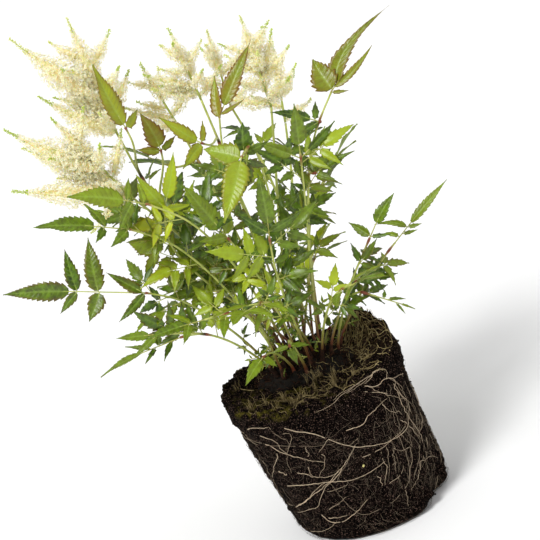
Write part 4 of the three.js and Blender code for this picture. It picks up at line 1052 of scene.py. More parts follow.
def make_leaves(materials):
    """The stalks and leaves, each with what it bears in one piece."""
    soups = {}
    for i, (name, stem) in enumerate(STEMS.items()):
        soup = soups.setdefault(stem["owner"], Soup())
        add_stem(soup, name, stem, np.random.default_rng(FINE_SEEDS["stem"] + i))
        if name not in LEAVES:
            clothe(soup, stem, np.random.default_rng(FINE_SEEDS["clothing"] + i))
    for i, branch in enumerate(BRANCHES):
        rng = np.random.default_rng(FINE_SEEDS["branch"] + i)
        youth, rust = TINTS.get(branch["leaf"], (rng.uniform(0, 0.32), rng.uniform(0, 0.35)))
        add_branch(soups[branch["owner"]], branch, youth, rust, rng)
    for owner, soup in soups.items():
        slot = "stalk" if owner.startswith("plume") else "leaf"
        piece = soup.build(owner.replace("leaf_", "foliage_").replace("plume_", ""), materials, slot)
        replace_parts(piece, owner)


# ---------------------------------------------------------------- the camera's view

# In degrees and millimetres; target is the middle of the picture.
CAMERA = dict(elevation=18.5, roll=19.5, distance=2000, mm_per_pixel=0.8125, target=(-18.5, 0, 224))
FRAME_PIXELS = 540


def camera_axes():
    """Where the camera is, and the directions right, up and forward in its picture."""
    e, r = math.radians(CAMERA["elevation"]), math.radians(CAMERA["roll"])
    forward = vec(0, math.cos(e), -math.sin(e))
    level, rise = vec(1, 0, 0), vec(0, math.sin(e), math.cos(e))
    right = level * math.cos(r) - rise * math.sin(r)
    up = level * math.sin(r) + rise * math.cos(r)
    return vec(*CAMERA["target"]) - forward * CAMERA["distance"], right, up, forward


def on_wall(x, y):
    """Where the sight line through a pixel of the photograph meets the ball, as (degrees, height)."""
    eye, right, up, forward = camera_axes()
    shift = CAMERA["mm_per_pixel"] / CAMERA["distance"]
    way = forward + right * (x - FRAME_PIXELS / 2) * shift - up * (y - FRAME_PIXELS / 2) * shift
    near, far = CAMERA["distance"] - 200, CAMERA["distance"] + 200
    p = eye + way * np.arange(near, far, 0.25)[:, None]
    across = from_axis(p)
    angle = np.degrees(np.arctan2(across[:, 1], across[:, 0]))
    met = np.linalg.norm(across, axis=1) < wall_radius(angle, p[:, 2]) + 1
    met &= (p[:, 2] > 0) & (p[:, 2] < BALL["height"])
    return (angle[met][0], p[met][0, 2]) if met.any() else None


# ---------------------------------------------------------------- soil

# The ball's mesh: points round it, and the gap between its rings. Then the heights of the section's
# lines on the wall, and the radius, height and share of the torn lump of those on the top.
BALL_MESH = dict(columns=260, row_gap=1.9)
WALL_LINES = (6, 18, 30, 44, 58, 72, 86, 98, 106, 109, 111, 114, 120, 127)
TOP_LINES = [(BALL["seat_radius"], BALL["seat_z"], 0), (BALL["rim_radius"] - 23, BALL["seat_z"] + 2, 0.35),
             (BALL["rim_radius"] - 13, BALL["height"], 0.85), (BALL["rim_radius"], BALL["height"] - 0.4, 1)]
MOSS = dict(angle=-132, spread=44)
# Where moss, clumps of dry grass and straws lie on the ball's top: the middle and the spread of their
# angles, the least radius, how many there are of each, and how dull the dry ones are at least.
LITTER = [dict(angle=-124, spread=30, inner=39, tufts=800, clumps=8, straws=26, dull=0.62),
          dict(angle=-96, spread=13, inner=18, tufts=240, clumps=7, straws=14, dull=0.55),
          dict(angle=-66, spread=24, inner=39, tufts=260, clumps=2, straws=24, dull=0.5),
          dict(angle=-36, spread=24, inner=16, tufts=60, clumps=1, straws=36, dull=0.15),
          dict(angle=BUMP["angle"], spread=28, inner=39, tufts=60, clumps=2, straws=220, dull=0.0),
          dict(angle=120, spread=50, inner=25, tufts=300, clumps=5, straws=20, dull=0.3)]
TOP_MIDDLE, TOP_EDGE = vec(axis_x(BALL["height"]), 0), BALL["rim_radius"] - 2.5
BALL_CRUMBS = 1300
PEBBLE = dict(pixel=(363.5, 466), size=2.1)


def roughness(points, scale, octaves):
    return np.array([noise.fractal(Vector(p / scale), 0.9, 2.1, octaves) for p in points])


def proud_wall(angle, z):
    """The wall with its collar, which the pot's rim left."""
    step = 1 / (1 + np.exp(-(z - BALL["collar_z"]) * 1.6))
    return wall_radius(angle, z) + BALL["collar_proud"] * step


def top_height(angle, radius):
    """The height of the ball's top: a rim with a bump round a lower seat."""
    radii, heights, bumps = zip(*TOP_LINES)
    return np.interp(radius, radii, heights) + np.interp(radius, radii, bumps) * bump_at(angle)


def ball_section(angle):
    """The ball's section at each angle, as radius and height, from the edge of its base to the middle of
    its top."""
    bump = bump_at(angle)
    level = np.zeros_like(angle)
    collar = BALL["collar_z"]
    lines = [(wall_radius(angle, 0) - BALL["base_round"], level), (wall_radius(angle, 2) - 1.8, level + 1.6)]
    lines += [(proud_wall(angle, z), level + z + max(0, z - collar) / 18 * 0.7 * bump) for z in WALL_LINES]
    lines += [(proud_wall(angle, BALL["height"]) - 3.5, TOP_LINES[-1][1] + bump)]
    lines += [(level + radius, top_height(angle, radius)) for radius, _, _ in TOP_LINES[2::-1]]
    return lines + [(level, top_height(angle, 0))]


def ball_rings(angle):
    """Rings of the ball's plain form, as [radius, height] at each angle."""
    lines = [np.stack(line, axis=1) for line in ball_section(angle)]
    rings = []
    for a, b in zip(lines, lines[1:]):
        steps = max(1, round(np.linalg.norm(b - a, axis=1).mean() / BALL_MESH["row_gap"]))
        rings += [a + (b - a) * k / steps for k in range(steps)]
    return np.array(rings + [lines[-1] + [0.5, 0]])


def torn(plain, turns):
    """The ball's points with the crumb and hollows of torn peat. The roughest stretches are its rim, most
    of all at the front and on the lump, and its broken corner. Also how coarse each point is."""
    large, coarse, fine = (roughness(plain, *grain) for grain in ((15.0, 2), (7.0, 3), (2.2, 2)))
    bump = bump_at(turns)
    rim = bell(plain[:, 2] - BALL["height"] - bump, 9)
    rim = rim * (0.4 + bell(degrees_apart(turns, -82), 26) + bump / BUMP["height"])
    broken = bell(degrees_apart(turns, BREAK["angle"]), 34) * bell(plain[:, 2] - 12, 22)
    push = (1.5 * coarse + 0.9 * fine) * (1 + 1.1 * rim + broken) + 6 * large * (0.9 * rim + 1.2 * broken)
    # Sideways on the wall, and mainly upwards on the top.
    outward = np.column_stack([from_axis(plain), plain[:, 2] - 62.0])
    outward[:, 2] *= np.where(plain[:, 2] > 124, 2.2, 0.12)
    flat = plain + units(outward) * (push * np.clip(plain[:, 2] / 5, 0, 1))[:, None]
    flat[:, 2] = np.maximum(flat[:, 2], 0)
    return flat, coarse


def ball_tones(flat, turns, coarse):
    """Red is how mossy a point is, green how light, which is low in the hollows and paints shade there, alpha
    how dry. Blue isn't used on the soil.
    """
    moss = bell(degrees_apart(turns, MOSS["angle"]), MOSS["spread"]) * np.clip((flat[:, 2] - 122) / 6, 0, 1)
    dry = bump_at(turns) / BUMP["height"] * np.clip((flat[:, 2] - 116) / 14, 0, 1)
    # Painted shade: green falls with the coarse noise that presses the hollows in, so the soil is darker
    # there.
    return np.stack([moss, np.clip(0.5 + 0.35 * coarse, 0, 1), 0 * moss, dry], axis=1)


def make_ball(materials):
    """The ball of soil, with crumbs where the photograph shows it close, and the litter on its top."""
    angle = np.linspace(-180, 180, BALL_MESH["columns"], endpoint=False)
    rings = ball_rings(angle)
    turns = np.tile(angle, len(rings))
    flat, coarse = torn(on_ball(angle, rings[..., 0], rings[..., 1]).reshape(-1, 3), turns)
    soup = Soup()
    soup.add_rings(flat, len(angle), ball_tones(flat, turns, coarse))
    rng = np.random.default_rng(FINE_SEEDS["ball"])
    shown = (flat[:, 2] > 112) | (turns > -60) & (turns < 10)
    add_crumbs(soup, flat[shown], BALL_CRUMBS, rng)
    ground = Ground(np.vstack([flat, mound()]))
    for place in LITTER:
        add_litter(soup, ground, rng, **place)
    add_pebble(soup)
    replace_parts(soup.build("soil_ball", materials, "soil"), "root_ball")


class Ground:
    """The height of the ball's top and of the crown on it, read from their points."""

    def __init__(self, points):
        self.points = points[points[:, 2] > BALL["collar_z"]]
        self.tree = KDTree(len(self.points))
        for i, (x, y, _) in enumerate(self.points):
            self.tree.insert((x, y, 0), i)
        self.tree.balance()

    def under(self, spots, proud=0.0):
        """The spots with each at its height above the highest of the points near it."""
        heights = [max(self.points[i, 2] for _, i, _ in self.tree.find_n((x, y, 0), 4)) for x, y, *_ in spots]
        return np.column_stack([spots[:, :2], np.array(heights) + proud])


def add_crumbs(soup, ground, many, rng):
    """Loose crumbs of peat and bark pressed into the ground, of its own material."""
    spots = ground[rng.integers(0, len(ground), many)] + rng.normal(0, 0.3, (many, 3))
    spots[:, 2] = np.maximum(spots[:, 2], 2.5)
    turns = turns_toward(rng.normal(size=(many, 3)), rng.uniform(0, 6, many))
    turns = turns * rng.uniform(0.5, 1.4, (many, 1, 3))
    tones = np.tile((0, 0.6, 0.5, 0.25), (len(BUD), 1))
    sizes = 0.5 + 1.5 * rng.random(many) ** 2
    scatter(soup, BUD, BUD_FACES, tones, spots, turns, sizes, rng.random(many), SOIL)


def add_litter(soup, ground, rng, angle, spread, inner, tufts, clumps, straws, dull):
    """Moss, clumps of dry grass and lying straws on the top."""
    def places(many):
        turn = np.radians(angle + rng.normal(0, spread, many))
        radius = rng.uniform(inner, TOP_EDGE, many)
        return TOP_MIDDLE + radius[:, None] * np.stack([np.cos(turn), np.sin(turn)], axis=1)

    ways = UP + rng.normal(0, 0.5, (tufts, 3))
    needles(soup, ground.under(places(tufts), -0.4), ways, rng.uniform(0.9, 2.8, tufts), 0.2,
            (1, 0.5, 0.5, 0.3), rng.random(tufts), SOIL)
    for foot in ground.under(places(clumps)):
        for _ in range(rng.integers(8, 18)):
            add_grass(soup, foot, dull, rng)
    for start in places(straws):
        add_straw(soup, ground, start, dull, rng)


def strand_tone(dull, rng):
    """Blue is how dull a strand is."""
    return 0, 0.5, mix(dull, 1, rng.random() ** 2), 1


def add_grass(soup, foot, dull, rng):
    """A dry blade that rises from a clump and leans over."""
    lean = rng.normal(0, 1, 3) * [1, 1, 0]
    height = rng.uniform(4, 12)
    start = foot + rng.normal(0, 1.2, 3) * [1, 1, 0] - UP
    path = bezier(start, start + UP * height * 0.5, start + UP * height * 0.9 + lean,
                  start + UP * height * rng.uniform(0.7, 1.1) + lean * rng.uniform(1.5, 4), 5)
    tubes(soup, path, np.linspace(0.22, 0.06, 6), strand_tone(dull, rng), 3, STRAW)


def add_straw(soup, ground, start, dull, rng):
    """A straw that wanders over the ground and stays on the ball."""
    steps = rng.integers(4, 9)
    heading = rng.uniform(0, 2 * math.pi) + rng.normal(0, 0.35, steps).cumsum()
    line = start + np.stack([np.cos(heading), np.sin(heading)], axis=1).cumsum(0) * rng.uniform(1.6, 3.2)
    line = line - TOP_MIDDLE
    line = TOP_MIDDLE + line * np.minimum(1, TOP_EDGE / np.linalg.norm(line, axis=1))[:, None]
    path = ground.under(line, rng.uniform(0.2, 1.4)) + rng.normal(0, 0.3, (steps, 3))
    tubes(soup, path, rng.uniform(0.12, 0.3) * np.linspace(1, 0.6, steps), strand_tone(dull, rng), 4, STRAW)


def add_pebble(soup):
    """A pale grain of fertiliser in the wall."""
    angle, z = on_wall(*PEBBLE["pixel"])
    spot = on_ball(angle, proud_wall(angle, z) + 0.4, z)
    scatter(soup, BUD, BUD_FACES, np.tile((0, 1, 0, 1), (len(BUD), 1)), spot[None],
            turns_toward(vec(0.3, -1, 0.2)[None], np.zeros(1)), [PEBBLE["size"]], [0], GRAIN)


# ---------------------------------------------------------------- crown

# The crown's mesh, how rough it is, and how many crumbs and scales lie on it.
MOUND = dict(columns=130, rings=24, rough=4.5, crumbs=900, scales=900)


def mound():
    """The rough surface of the crown, as rings of points from its edge to its middle."""
    turn = np.arange(MOUND["columns"]) / MOUND["columns"] * 2 * math.pi
    rings = []
    for share in np.linspace(1, 0.02, MOUND["rings"]) ** 0.7:
        z = CROWN["bottom"] + (CROWN["height"] - 2) * (1 - share ** 4) - (1.5 if share == 1 else 0)
        x = CROWN["x"] + share * CROWN["half_x"] * np.cos(turn)
        y = CROWN["y"] + share * CROWN["half_y"] * np.sin(turn)
        rings.append(np.stack([x, y, np.full_like(turn, z)], axis=1))
    points = np.vstack(rings)
    fade = np.clip((points[:, 2] - CROWN["bottom"]) / 3, 0, 1)
    points[:, 2] += roughness(points, 6.0, 4) * MOUND["rough"] * fade
    return points


def add_scales(soup, rng):
    """Dry scales that stand out from the crown."""
    many = MOUND["scales"]
    share, around = np.sqrt(rng.random(many)) * 0.99, rng.uniform(0, 2 * math.pi, many)
    x = CROWN["x"] + share * CROWN["half_x"] * np.cos(around)
    y = CROWN["y"] + share * CROWN["half_y"] * np.sin(around)
    z = np.array([crown_top(*q) for q in zip(x, y)]) - 2.5
    ways = np.stack([np.cos(around), np.sin(around), np.full(many, 0.7)], axis=1)
    ways = ways + rng.normal(0, 0.6, (many, 3))
    needles(soup, np.stack([x, y, z], axis=1), ways, rng.uniform(3, 9, many), 0.6, (0.5, 0.5, 0.5, 1),
            rng.random(many), SHEATHS)


def make_crown(materials):
    """The crown: a near black mound, partly the old crown's own dark and partly painted shade under the
    foliage, with an old sheath round the foot of every stem, under dry scales.
    """
    rng = np.random.default_rng(FINE_SEEDS["crown"])
    soup = Soup()
    flat = mound()
    soup.add_rings(flat, MOUND["columns"], (0.1, 0.4, 0.2, 1))
    for name, stem in STEMS.items():
        if name not in LEAVES:
            foot = smooth_path(stem["path"], 60)
            sheath = foot[2:2 + rng.integers(4, 9)]
            tubes(soup, sheath, np.linspace(2.7, 1.25, len(sheath)) * rng.uniform(0.85, 1.1),
                  (0.5, 0.5, rng.random(), 1), 8, SHEATHS)
    add_crumbs(soup, flat[flat[:, 2] > CROWN["bottom"]], MOUND["crumbs"], rng)
    add_scales(soup, rng)
    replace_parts(soup.build("old_crown", materials, "crown"), "crown")


# ---------------------------------------------------------------- roots

# Roots that the photograph shows: radius, how light, and the line as pixels of the photograph.
SEEN_ROOTS = [
    (0.26, 0.75, [(363, 457), (378, 451), (391, 442), (402, 431), (407, 425)]),
    (0.28, 0.95, [(345, 431), (357, 428), (363, 424), (367, 417), (374, 411), (383, 402), (386, 400)]),
    (0.22, 0.8, [(382, 404), (388, 409), (394, 412), (398, 411), (401, 413)]),
    (0.3, 0.9, [(363, 385), (375, 385), (382, 379), (390, 377), (396, 381), (402, 391), (407, 400)]),
    (0.26, 0.85, [(391, 384), (397, 392), (403, 398), (407, 405), (410, 415)]),
    (0.2, 0.7, [(394, 382), (400, 388), (405, 397)]),
    (0.22, 0.85, [(362, 392), (378, 394), (385, 397), (392, 398), (400, 402), (406, 402)]),
    (0.2, 0.8, [(366, 385), (372, 387), (385, 391), (391, 394)]),
    (0.2, 0.75, [(384, 379), (386, 373), (382, 371), (376, 373)]),
    (0.2, 0.7, [(391, 378), (397, 377), (402, 380)]),
    (0.28, 0.9, [(369, 369), (372, 373), (370, 378), (365, 386)]),
    (0.26, 0.6, [(366, 371), (362, 376), (352, 384), (345, 393), (338, 397), (330, 405), (314, 415)]),
    (0.24, 0.6, [(352, 373), (352, 382), (347, 390)]),
    (0.2, 0.6, [(338, 378), (339, 390), (333, 401)]),
    (0.3, 0.75, [(421, 412), (422, 425), (421, 432)]),
    (0.26, 0.9, [(400, 420), (408, 424), (414, 431), (418, 436)]),
    (0.2, 0.75, [(394, 448), (403, 450), (410, 447), (413, 446), (414, 456), (413, 466), (411, 475)]),
    (0.18, 0.65, [(419, 445), (417, 462), (411, 480)]),
    (0.18, 0.7, [(426, 437), (429, 448), (432, 456)]),
    (0.2, 0.7, [(419, 470), (418, 483), (415, 491)]),
    (0.2, 0.75, [(421, 470), (421, 462), (425, 461), (430, 457), (440, 458)]),
    (0.24, 0.85, [(438, 465), (439, 480), (437, 491)]),
    (0.2, 0.6, [(405, 490), (406, 500), (407, 508)]),
    (0.24, 0.75, [(381, 452), (383, 462), (385, 467), (383, 477), (384, 485), (391, 480), (396, 477),
                  (401, 471), (403, 464)]),
    (0.22, 0.8, [(378, 476), (379, 482), (380, 487)]),
    (0.18, 0.6, [(386, 447), (388, 455), (391, 465), (392, 476)]),
    (0.18, 0.6, [(393, 450), (395, 458), (396, 465)]),
    (0.18, 0.5, [(400, 433), (408, 443), (413, 448)]),
    (0.18, 0.5, [(358, 438), (352, 442), (346, 446)]),
    (0.2, 0.5, [(350, 453), (346, 462), (342, 470), (337, 478)]),
    (0.3, 0.85, [(228, 427), (237, 428), (250, 428), (262, 426), (272, 426)]),
    (0.2, 0.55, [(242, 430), (250, 441), (256, 444)]),
    (0.18, 0.55, [(271, 427), (281, 437), (291, 444), (287, 451)]),
    (0.28, 0.85, [(260, 435), (272, 441), (281, 450), (287, 455)]),
    (0.18, 0.6, [(284, 432), (290, 434), (290, 443), (289, 457), (291, 466), (295, 475)]),
    (0.3, 0.8, [(277, 454), (277, 461), (272, 468), (272, 477), (271, 483)]),
    (0.22, 0.8, [(306, 447), (306, 455), (307, 459)]),
    (0.24, 0.85, [(308, 467), (308, 470), (309, 474)]),
    (0.36, 0.9, [(280, 472), (283, 473), (286, 474)]),
    (0.26, 0.85, [(298, 473), (306, 475), (314, 477), (322, 478), (330, 477), (338, 472)]),
    (0.22, 0.75, [(328, 440), (324, 447), (320, 452), (325, 457), (324, 466), (319, 475)]),
    (0.3, 0.9, [(296, 507), (306, 499), (318, 488), (327, 480)]),
    (0.28, 0.8, [(342, 468), (335, 480), (328, 487), (325, 497), (321, 508), (312, 511), (301, 515)]),
    (0.2, 0.6, [(286, 503), (290, 505), (294, 507)]),
    (0.2, 0.6, [(328, 492), (338, 488), (350, 483)]),
    (0.22, 0.65, [(330, 510), (340, 503), (347, 498)]),
    (0.28, 0.85, [(322, 515), (328, 520), (336, 523), (343, 522), (350, 517), (360, 509), (368, 500)]),
    (0.26, 0.85, [(328, 518), (338, 517), (346, 516)]),
    (0.24, 0.65, [(311, 531), (322, 532), (332, 529), (340, 523)]),
]
# Bundles of like roots: how many, how far they stray in pixels, and the line that they follow.
BUNDLES = [
    (10, 9, [(376, 380), (392, 388), (404, 408), (412, 434)]),
    (7, 12, [(400, 410), (412, 432), (418, 460), (414, 488)]),
    (4, 8, [(422, 424), (432, 450), (438, 478)]),
    (4, 10, [(388, 440), (398, 462), (404, 490)]),
    (5, 8, [(256, 452), (264, 462), (272, 484)]),
]
# The roots of the part's front net: radius, how light, and the line as (degrees, height) on the wall.
FRONT_ROOTS = [
    (0.2, 0.4, [(-168, 103), (-140, 101), (-118, 98), (-96, 92)]),
    (0.34, 0.9, [(-118, 116), (-112, 112), (-103, 106), (-96, 98), (-87, 87), (-76, 80), (-60, 75),
                 (-43, 77), (-32, 88)]),
    (0.3, 0.85, [(-140, 101), (-125, 88), (-105, 74)]),
    (0.3, 0.9, [(-143, 58), (-115, 60), (-89, 55), (-70, 58)]),
    (0.3, 0.9, [(-147, 36), (-111, 59), (-90, 77), (-84, 84)]),
    (0.26, 0.8, [(-37, 104), (-38, 82), (-36, 58), (-40, 38)]),
    (0.22, 0.4, [(-52, 76), (-54, 50), (-62, 30), (-86, 20), (-104, 24), (-111, 59)]),
]
# The long root of the part's back net, which waves round the far side, and how many short ones are there.
BACK_ROOT = dict(start=-12, end=176, level=74, wave=14, waves=2.4, radius=0.5, light=0.8)
SHORT_ROOTS = 22
# Hair roots: how many there are in front and behind, points in one, the heights they start at, the length
# of a step, and the side that the ball was pressed on, where they run more upright.
HAIR_ROOTS = dict(front=800, back=620, count=11, height=(3, 108), step=(0.8, 3.4), pressed=-25, spread=50)
# Round the wall, half way up.
MM_PER_DEGREE = 1.25


def hug(rows, proud):
    """Points on the wall from rows of (degrees, height)."""
    rows = np.asarray(rows, float)
    return on_ball(rows[:, 0], proud_wall(rows[:, 0], rows[:, 1]) + proud, rows[:, 1])


def root_on_wall(soup, rows, radius, light, rng, count=26):
    """A root along rows of (degrees, height), which strays a little and dips into the soil here and there."""
    path = smooth_path(np.column_stack([rows, np.zeros(len(rows))]), count)[:, :2]
    path[:, 0] += np.cumsum(rng.normal(0, 0.3, count))
    path[:, 1] += np.cumsum(rng.normal(0, 0.25, count))
    spots = hug(path, 1.0 + np.convolve(rng.normal(0, 0.9, count + 4), np.ones(5) / 5, "valid"))
    tubes(soup, spots, radius * np.linspace(1, 0.5, count), (light, rng.random(), rng.random(), 1), 5)


def strands(many, stray, line, rng):
    """Roots that follow a bundle's line for part of its length, each a little aside."""
    line = np.array(line, float)
    for _ in range(many):
        first = rng.integers(0, len(line) - 1)
        last = rng.integers(first + 2, len(line) + 1)
        points = line[first:last] + rng.normal(0, stray, 2) + rng.normal(0, 2, (last - first, 2))
        yield rng.uniform(0.08, 0.17), rng.uniform(0.25, 0.8), points.tolist()


def hair_roots(soup, many, low, high, rng):
    """Wandering hair roots over a stretch of the wall, more upright and lighter on the pressed side."""
    n = HAIR_ROOTS["count"]
    angle = rng.uniform(low, high, many)
    upright = bell(degrees_apart(angle, HAIR_ROOTS["pressed"]), HAIR_ROOTS["spread"])
    z = rng.uniform(*HAIR_ROOTS["height"], many)
    way = np.where(rng.random(many) < 0.2 + 0.7 * upright, rng.normal(-math.pi / 2, 0.35, many),
                   rng.uniform(-math.pi, math.pi, many))
    heading = way[:, None] + rng.normal(0, 0.3, (many, n)).cumsum(1)
    step = rng.uniform(*HAIR_ROOTS["step"], many)[:, None]
    degrees = angle[:, None] + np.cumsum(np.cos(heading) * step, axis=1) / MM_PER_DEGREE
    height = np.clip(z[:, None] + np.cumsum(np.sin(heading) * step, axis=1), 2, 127)
    proud = rng.uniform(-0.2, 1.3, many)[:, None] + rng.normal(0, 0.4, (many, n))
    spots = on_ball(degrees, proud_wall(degrees, height) + proud, height)
    radius = (0.05 + 0.1 * rng.random(many) ** 2)[:, None] * np.linspace(1, 0.5, n)
    light = np.clip(rng.normal(0.06, 0.14, many) + 0.3 * upright * rng.random(many), 0, 1)
    tone = np.stack([light, rng.random(many), rng.random(many), np.ones(many)], axis=1)
    tubes(soup, spots, radius, np.repeat(tone, n, axis=0).reshape(-1, n, 4), 3)


def front_roots(rng):
    """The net in front: the part's roots, those traced from the photograph, and the finest ones."""
    soup = Soup()
    for radius, light, rows in FRONT_ROOTS:
        root_on_wall(soup, rows, radius, light, rng, 44)
    bundled = [strand for bundle in BUNDLES for strand in strands(*bundle, rng)]
    for radius, light, pixels in SEEN_ROOTS + bundled:
        rows = [spot for spot in (on_wall(*pixel) for pixel in pixels) if spot]
        if len(rows) > 1:
            root_on_wall(soup, rows, radius, light, rng)
    hair_roots(soup, HAIR_ROOTS["front"], -178, 2, rng)
    return soup


def back_roots(rng):
    """The net behind, where nothing can be traced: one long root, short ones that slope, and hairs."""
    soup, long = Soup(), BACK_ROOT
    sweep = np.linspace(long["start"], long["end"], 14)
    turns = (sweep - long["start"]) / (long["end"] - long["start"]) * long["waves"]
    wave = long["level"] + long["wave"] * np.sin(turns * 2 * np.pi)
    root_on_wall(soup, np.column_stack([sweep, wave]), long["radius"], long["light"], rng, 80)
    for _ in range(SHORT_ROOTS):
        angle, z = rng.uniform(4, 150), rng.uniform(20, 112)
        slope, reach = rng.normal(0, 1.2), rng.uniform(12, 40)
        rows = [(angle + k * reach / 3, np.clip(z + k * slope * 7 + rng.normal(0, 3), 4, 126))
                for k in range(4)]
        root_on_wall(soup, rows, rng.uniform(0.28, 0.5), rng.uniform(0.55, 0.9), rng)
    hair_roots(soup, HAIR_ROOTS["back"], 2, 182, rng)
    return soup


def make_roots(materials):
    rng = np.random.default_rng(FINE_SEEDS["roots"])
    front, back = front_roots(rng), back_roots(rng)
    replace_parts(front.build("roots_front", materials, "root"), "root_net_front")
    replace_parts(back.build("roots_back", materials, "root"), "root_net_back")


# ---------------------------------------------------------------- materials


class Paint:
    """A node material: a Principled shader and the nodes that feed it."""

    def __init__(self, name, **values):
        self.material = bpy.data.materials.new(name)
        self.material.use_nodes = True
        self.nodes = self.material.node_tree.nodes
        self.links = self.material.node_tree.links
        self.shader = self.nodes["Principled BSDF"]
        tone = self.add("Attribute", attribute_name="tone")
        parts = self.add("SeparateColor", inputs={"Color": tone.outputs["Color"]})
        self.red, self.green, self.blue = (parts.outputs[k] for k in ("Red", "Green", "Blue"))
        self.alpha = tone.outputs["Alpha"]
        for socket, value in values.items():
            self.shader.inputs[socket.replace("_", " ")].default_value = value

    def add(self, kind, inputs=(), **settings):
        """A node with its settings, and its inputs linked or set."""
        node = self.nodes.new("ShaderNode" + kind)
        for key, value in settings.items():
            setattr(node, key, value)
        for key, value in dict(inputs).items():
            if isinstance(value, bpy.types.NodeSocket):
                self.links.new(value, node.inputs[key])
            else:
                node.inputs[key].default_value = value
        return node

    def math(self, operation, a, b):
        return self.add("Math", {0: a, 1: b}, operation=operation).outputs[0]

    def times(self, a, b):
        return self.math("MULTIPLY", a, b)

    def mixed(self, share, a, b):
        a, b = (srgb(c) if isinstance(c, tuple) else c for c in (a, b))
        return self.add("MixRGB", {"Fac": share, "Color1": a, "Color2": b}).outputs[0]

    def noise(self, scale, detail=3.0):
        place = self.add("NewGeometry").outputs["Position"]
        return self.add("TexNoise", {"Vector": place, "Scale": scale, "Detail": detail}).outputs["Fac"]

    def ramp(self, value, low, high):
        return self.add("MapRange", {"Value": value, "From Min": low, "From Max": high}).outputs["Result"]

    def flecks(self, scale, low, high, detail=3.0):
        """Noise that is drawn out to run from 0 at low to 1 at high."""
        return self.ramp(self.noise(scale, detail), low, high)

    def finish(self, color, bump, strength, distance):
        self.links.new(color, self.shader.inputs["Base Color"])
        node = self.add("Bump", {"Height": bump, "Strength": strength, "Distance": distance})
        self.links.new(node.outputs["Normal"], self.shader.inputs["Normal"])
        return self.material


def srgb(color):
    """A colour of 0 to 255 as the eye sees it, as linear light."""
    linear = [c / 255 / 12.92 if c <= 10 else ((c / 255 + 0.055) / 1.055) ** 2.4 for c in color]
    return (*linear, 1)


def leaf_paint(name, deep, fresh, young, rusty, bronze, rough):
    """Green in flecks, younger by the blue tone, and bronze at the edge and in patches by the alpha."""
    p = Paint(name, Roughness=rough, Specular_IOR_Level=0.45, Subsurface_Weight=0.1,
              Subsurface_Scale=0.001, Subsurface_Radius=(0.7, 1.0, 0.15))
    base = p.mixed(p.flecks(220, 0.3, 0.7), deep, fresh)
    base = p.mixed(p.blue, base, young)
    base = p.mixed(p.times(p.ramp(p.alpha, 0.5, 1.0), p.flecks(60, 0.2, 0.6)), base, rusty)
    edge = p.ramp(p.times(p.math("POWER", p.green, 3.0), p.alpha), 0.1, 0.9)
    base = p.mixed(edge, base, bronze)
    base = p.mixed(p.times(p.math("POWER", p.red, 3.0), 0.6), base, (158, 188, 80))
    bump = p.math("ADD", p.noise(1500, 2), p.times(p.red, -0.6))
    return p.finish(base, bump, 0.35, 0.0004)


def stem_paint():
    """Yellow-green, red by the green tone, and near black where it leaves the soil."""
    p = Paint("stem", Roughness=0.42)
    base = p.mixed(p.flecks(160, 0.3, 0.7), (170, 188, 80), (206, 212, 116))
    base = p.mixed(p.ramp(p.green, 0.2, 1.0), base, (134, 62, 42))
    base = p.mixed(p.ramp(p.red, 0.2, 0.04), base, (40, 22, 16))
    base = p.mixed(p.times(p.noise(900), 0.25), base, (110, 90, 40))
    return p.finish(base, p.noise(1400, 2), 0.2, 0.0003)


def petal_paint():
    """Yellow at a floret's heart, cream further out, and a little pinker in some."""
    p = Paint("petals", Roughness=0.75, Specular_IOR_Level=0.3, Subsurface_Weight=0.4, Subsurface_Scale=0.004)
    base = p.mixed(p.ramp(p.red, 0.0, 0.5), (252, 230, 128), (255, 252, 220))
    base = p.mixed(p.times(p.ramp(p.blue, 0.5, 1.0), 0.6), base, (255, 232, 182))
    return p.finish(base, p.noise(2400, 2), 0.15, 0.0002)


def bud_paint():
    """From cream to green by the blue tone."""
    p = Paint("buds", Roughness=0.5)
    base = p.mixed(p.ramp(p.blue, 0.35, 0.9), (244, 240, 166), (184, 206, 76))
    base = p.mixed(p.times(p.noise(700), 0.3), base, (196, 208, 100))
    return p.finish(base, p.noise(2000, 2), 0.2, 0.0002)


def soil_paint():
    """Near black peat with brown flecks and specks, painted shade in the hollows where green is low, dry
    where alpha says so and mossy where red does.
    """
    p = Paint("soil", Roughness=0.9, Specular_IOR_Level=0.02)
    base = p.mixed(p.flecks(420, 0.42, 0.72, 5), (1, 1, 0), (24, 16, 13))
    # Painted shade: nearly black where the green tone is low, in the hollows of the ball.
    base = p.mixed(p.ramp(p.green, 0.3, 0.8), (2, 1, 1), base)
    base = p.mixed(p.flecks(1000, 0.58, 0.67, 4), base, (106, 86, 76))
    base = p.mixed(p.times(p.alpha, p.flecks(480, 0.47, 0.62, 5)), base, (112, 88, 64))
    moss = p.mixed(p.flecks(700, 0.35, 0.65, 4), (30, 29, 8), (88, 80, 30))
    base = p.mixed(p.times(p.red, p.flecks(130, 0.5, 0.62, 4)), base, moss)
    return p.finish(base, p.noise(1100, 6), 0.9, 0.0012)


def litter_paint(name, dark, light, brown):
    """Old plant stuff: dark and light in flecks, and browner from strand to strand by the blue tone."""
    p = Paint(name, Roughness=0.8, Specular_IOR_Level=0.2)
    base = p.mixed(p.flecks(380, 0.35, 0.65, 4), dark, light)
    base = p.mixed(p.times(p.blue, 0.8), base, brown)
    return p.finish(base, p.noise(900, 4), 0.6, 0.0008)


def root_paint():
    """From dark brown to tan by the red tone, with earthy flecks."""
    p = Paint("roots", Roughness=0.75, Specular_IOR_Level=0.25)
    base = p.mixed(p.red, (26, 18, 14), (226, 204, 172))
    base = p.mixed(p.times(p.flecks(300, 0.4, 0.7), 0.6), base, (92, 72, 54))
    return p.finish(base, p.noise(1500, 2), 0.3, 0.0003)


# ---------------------------------------------------------------- camera, floor and light

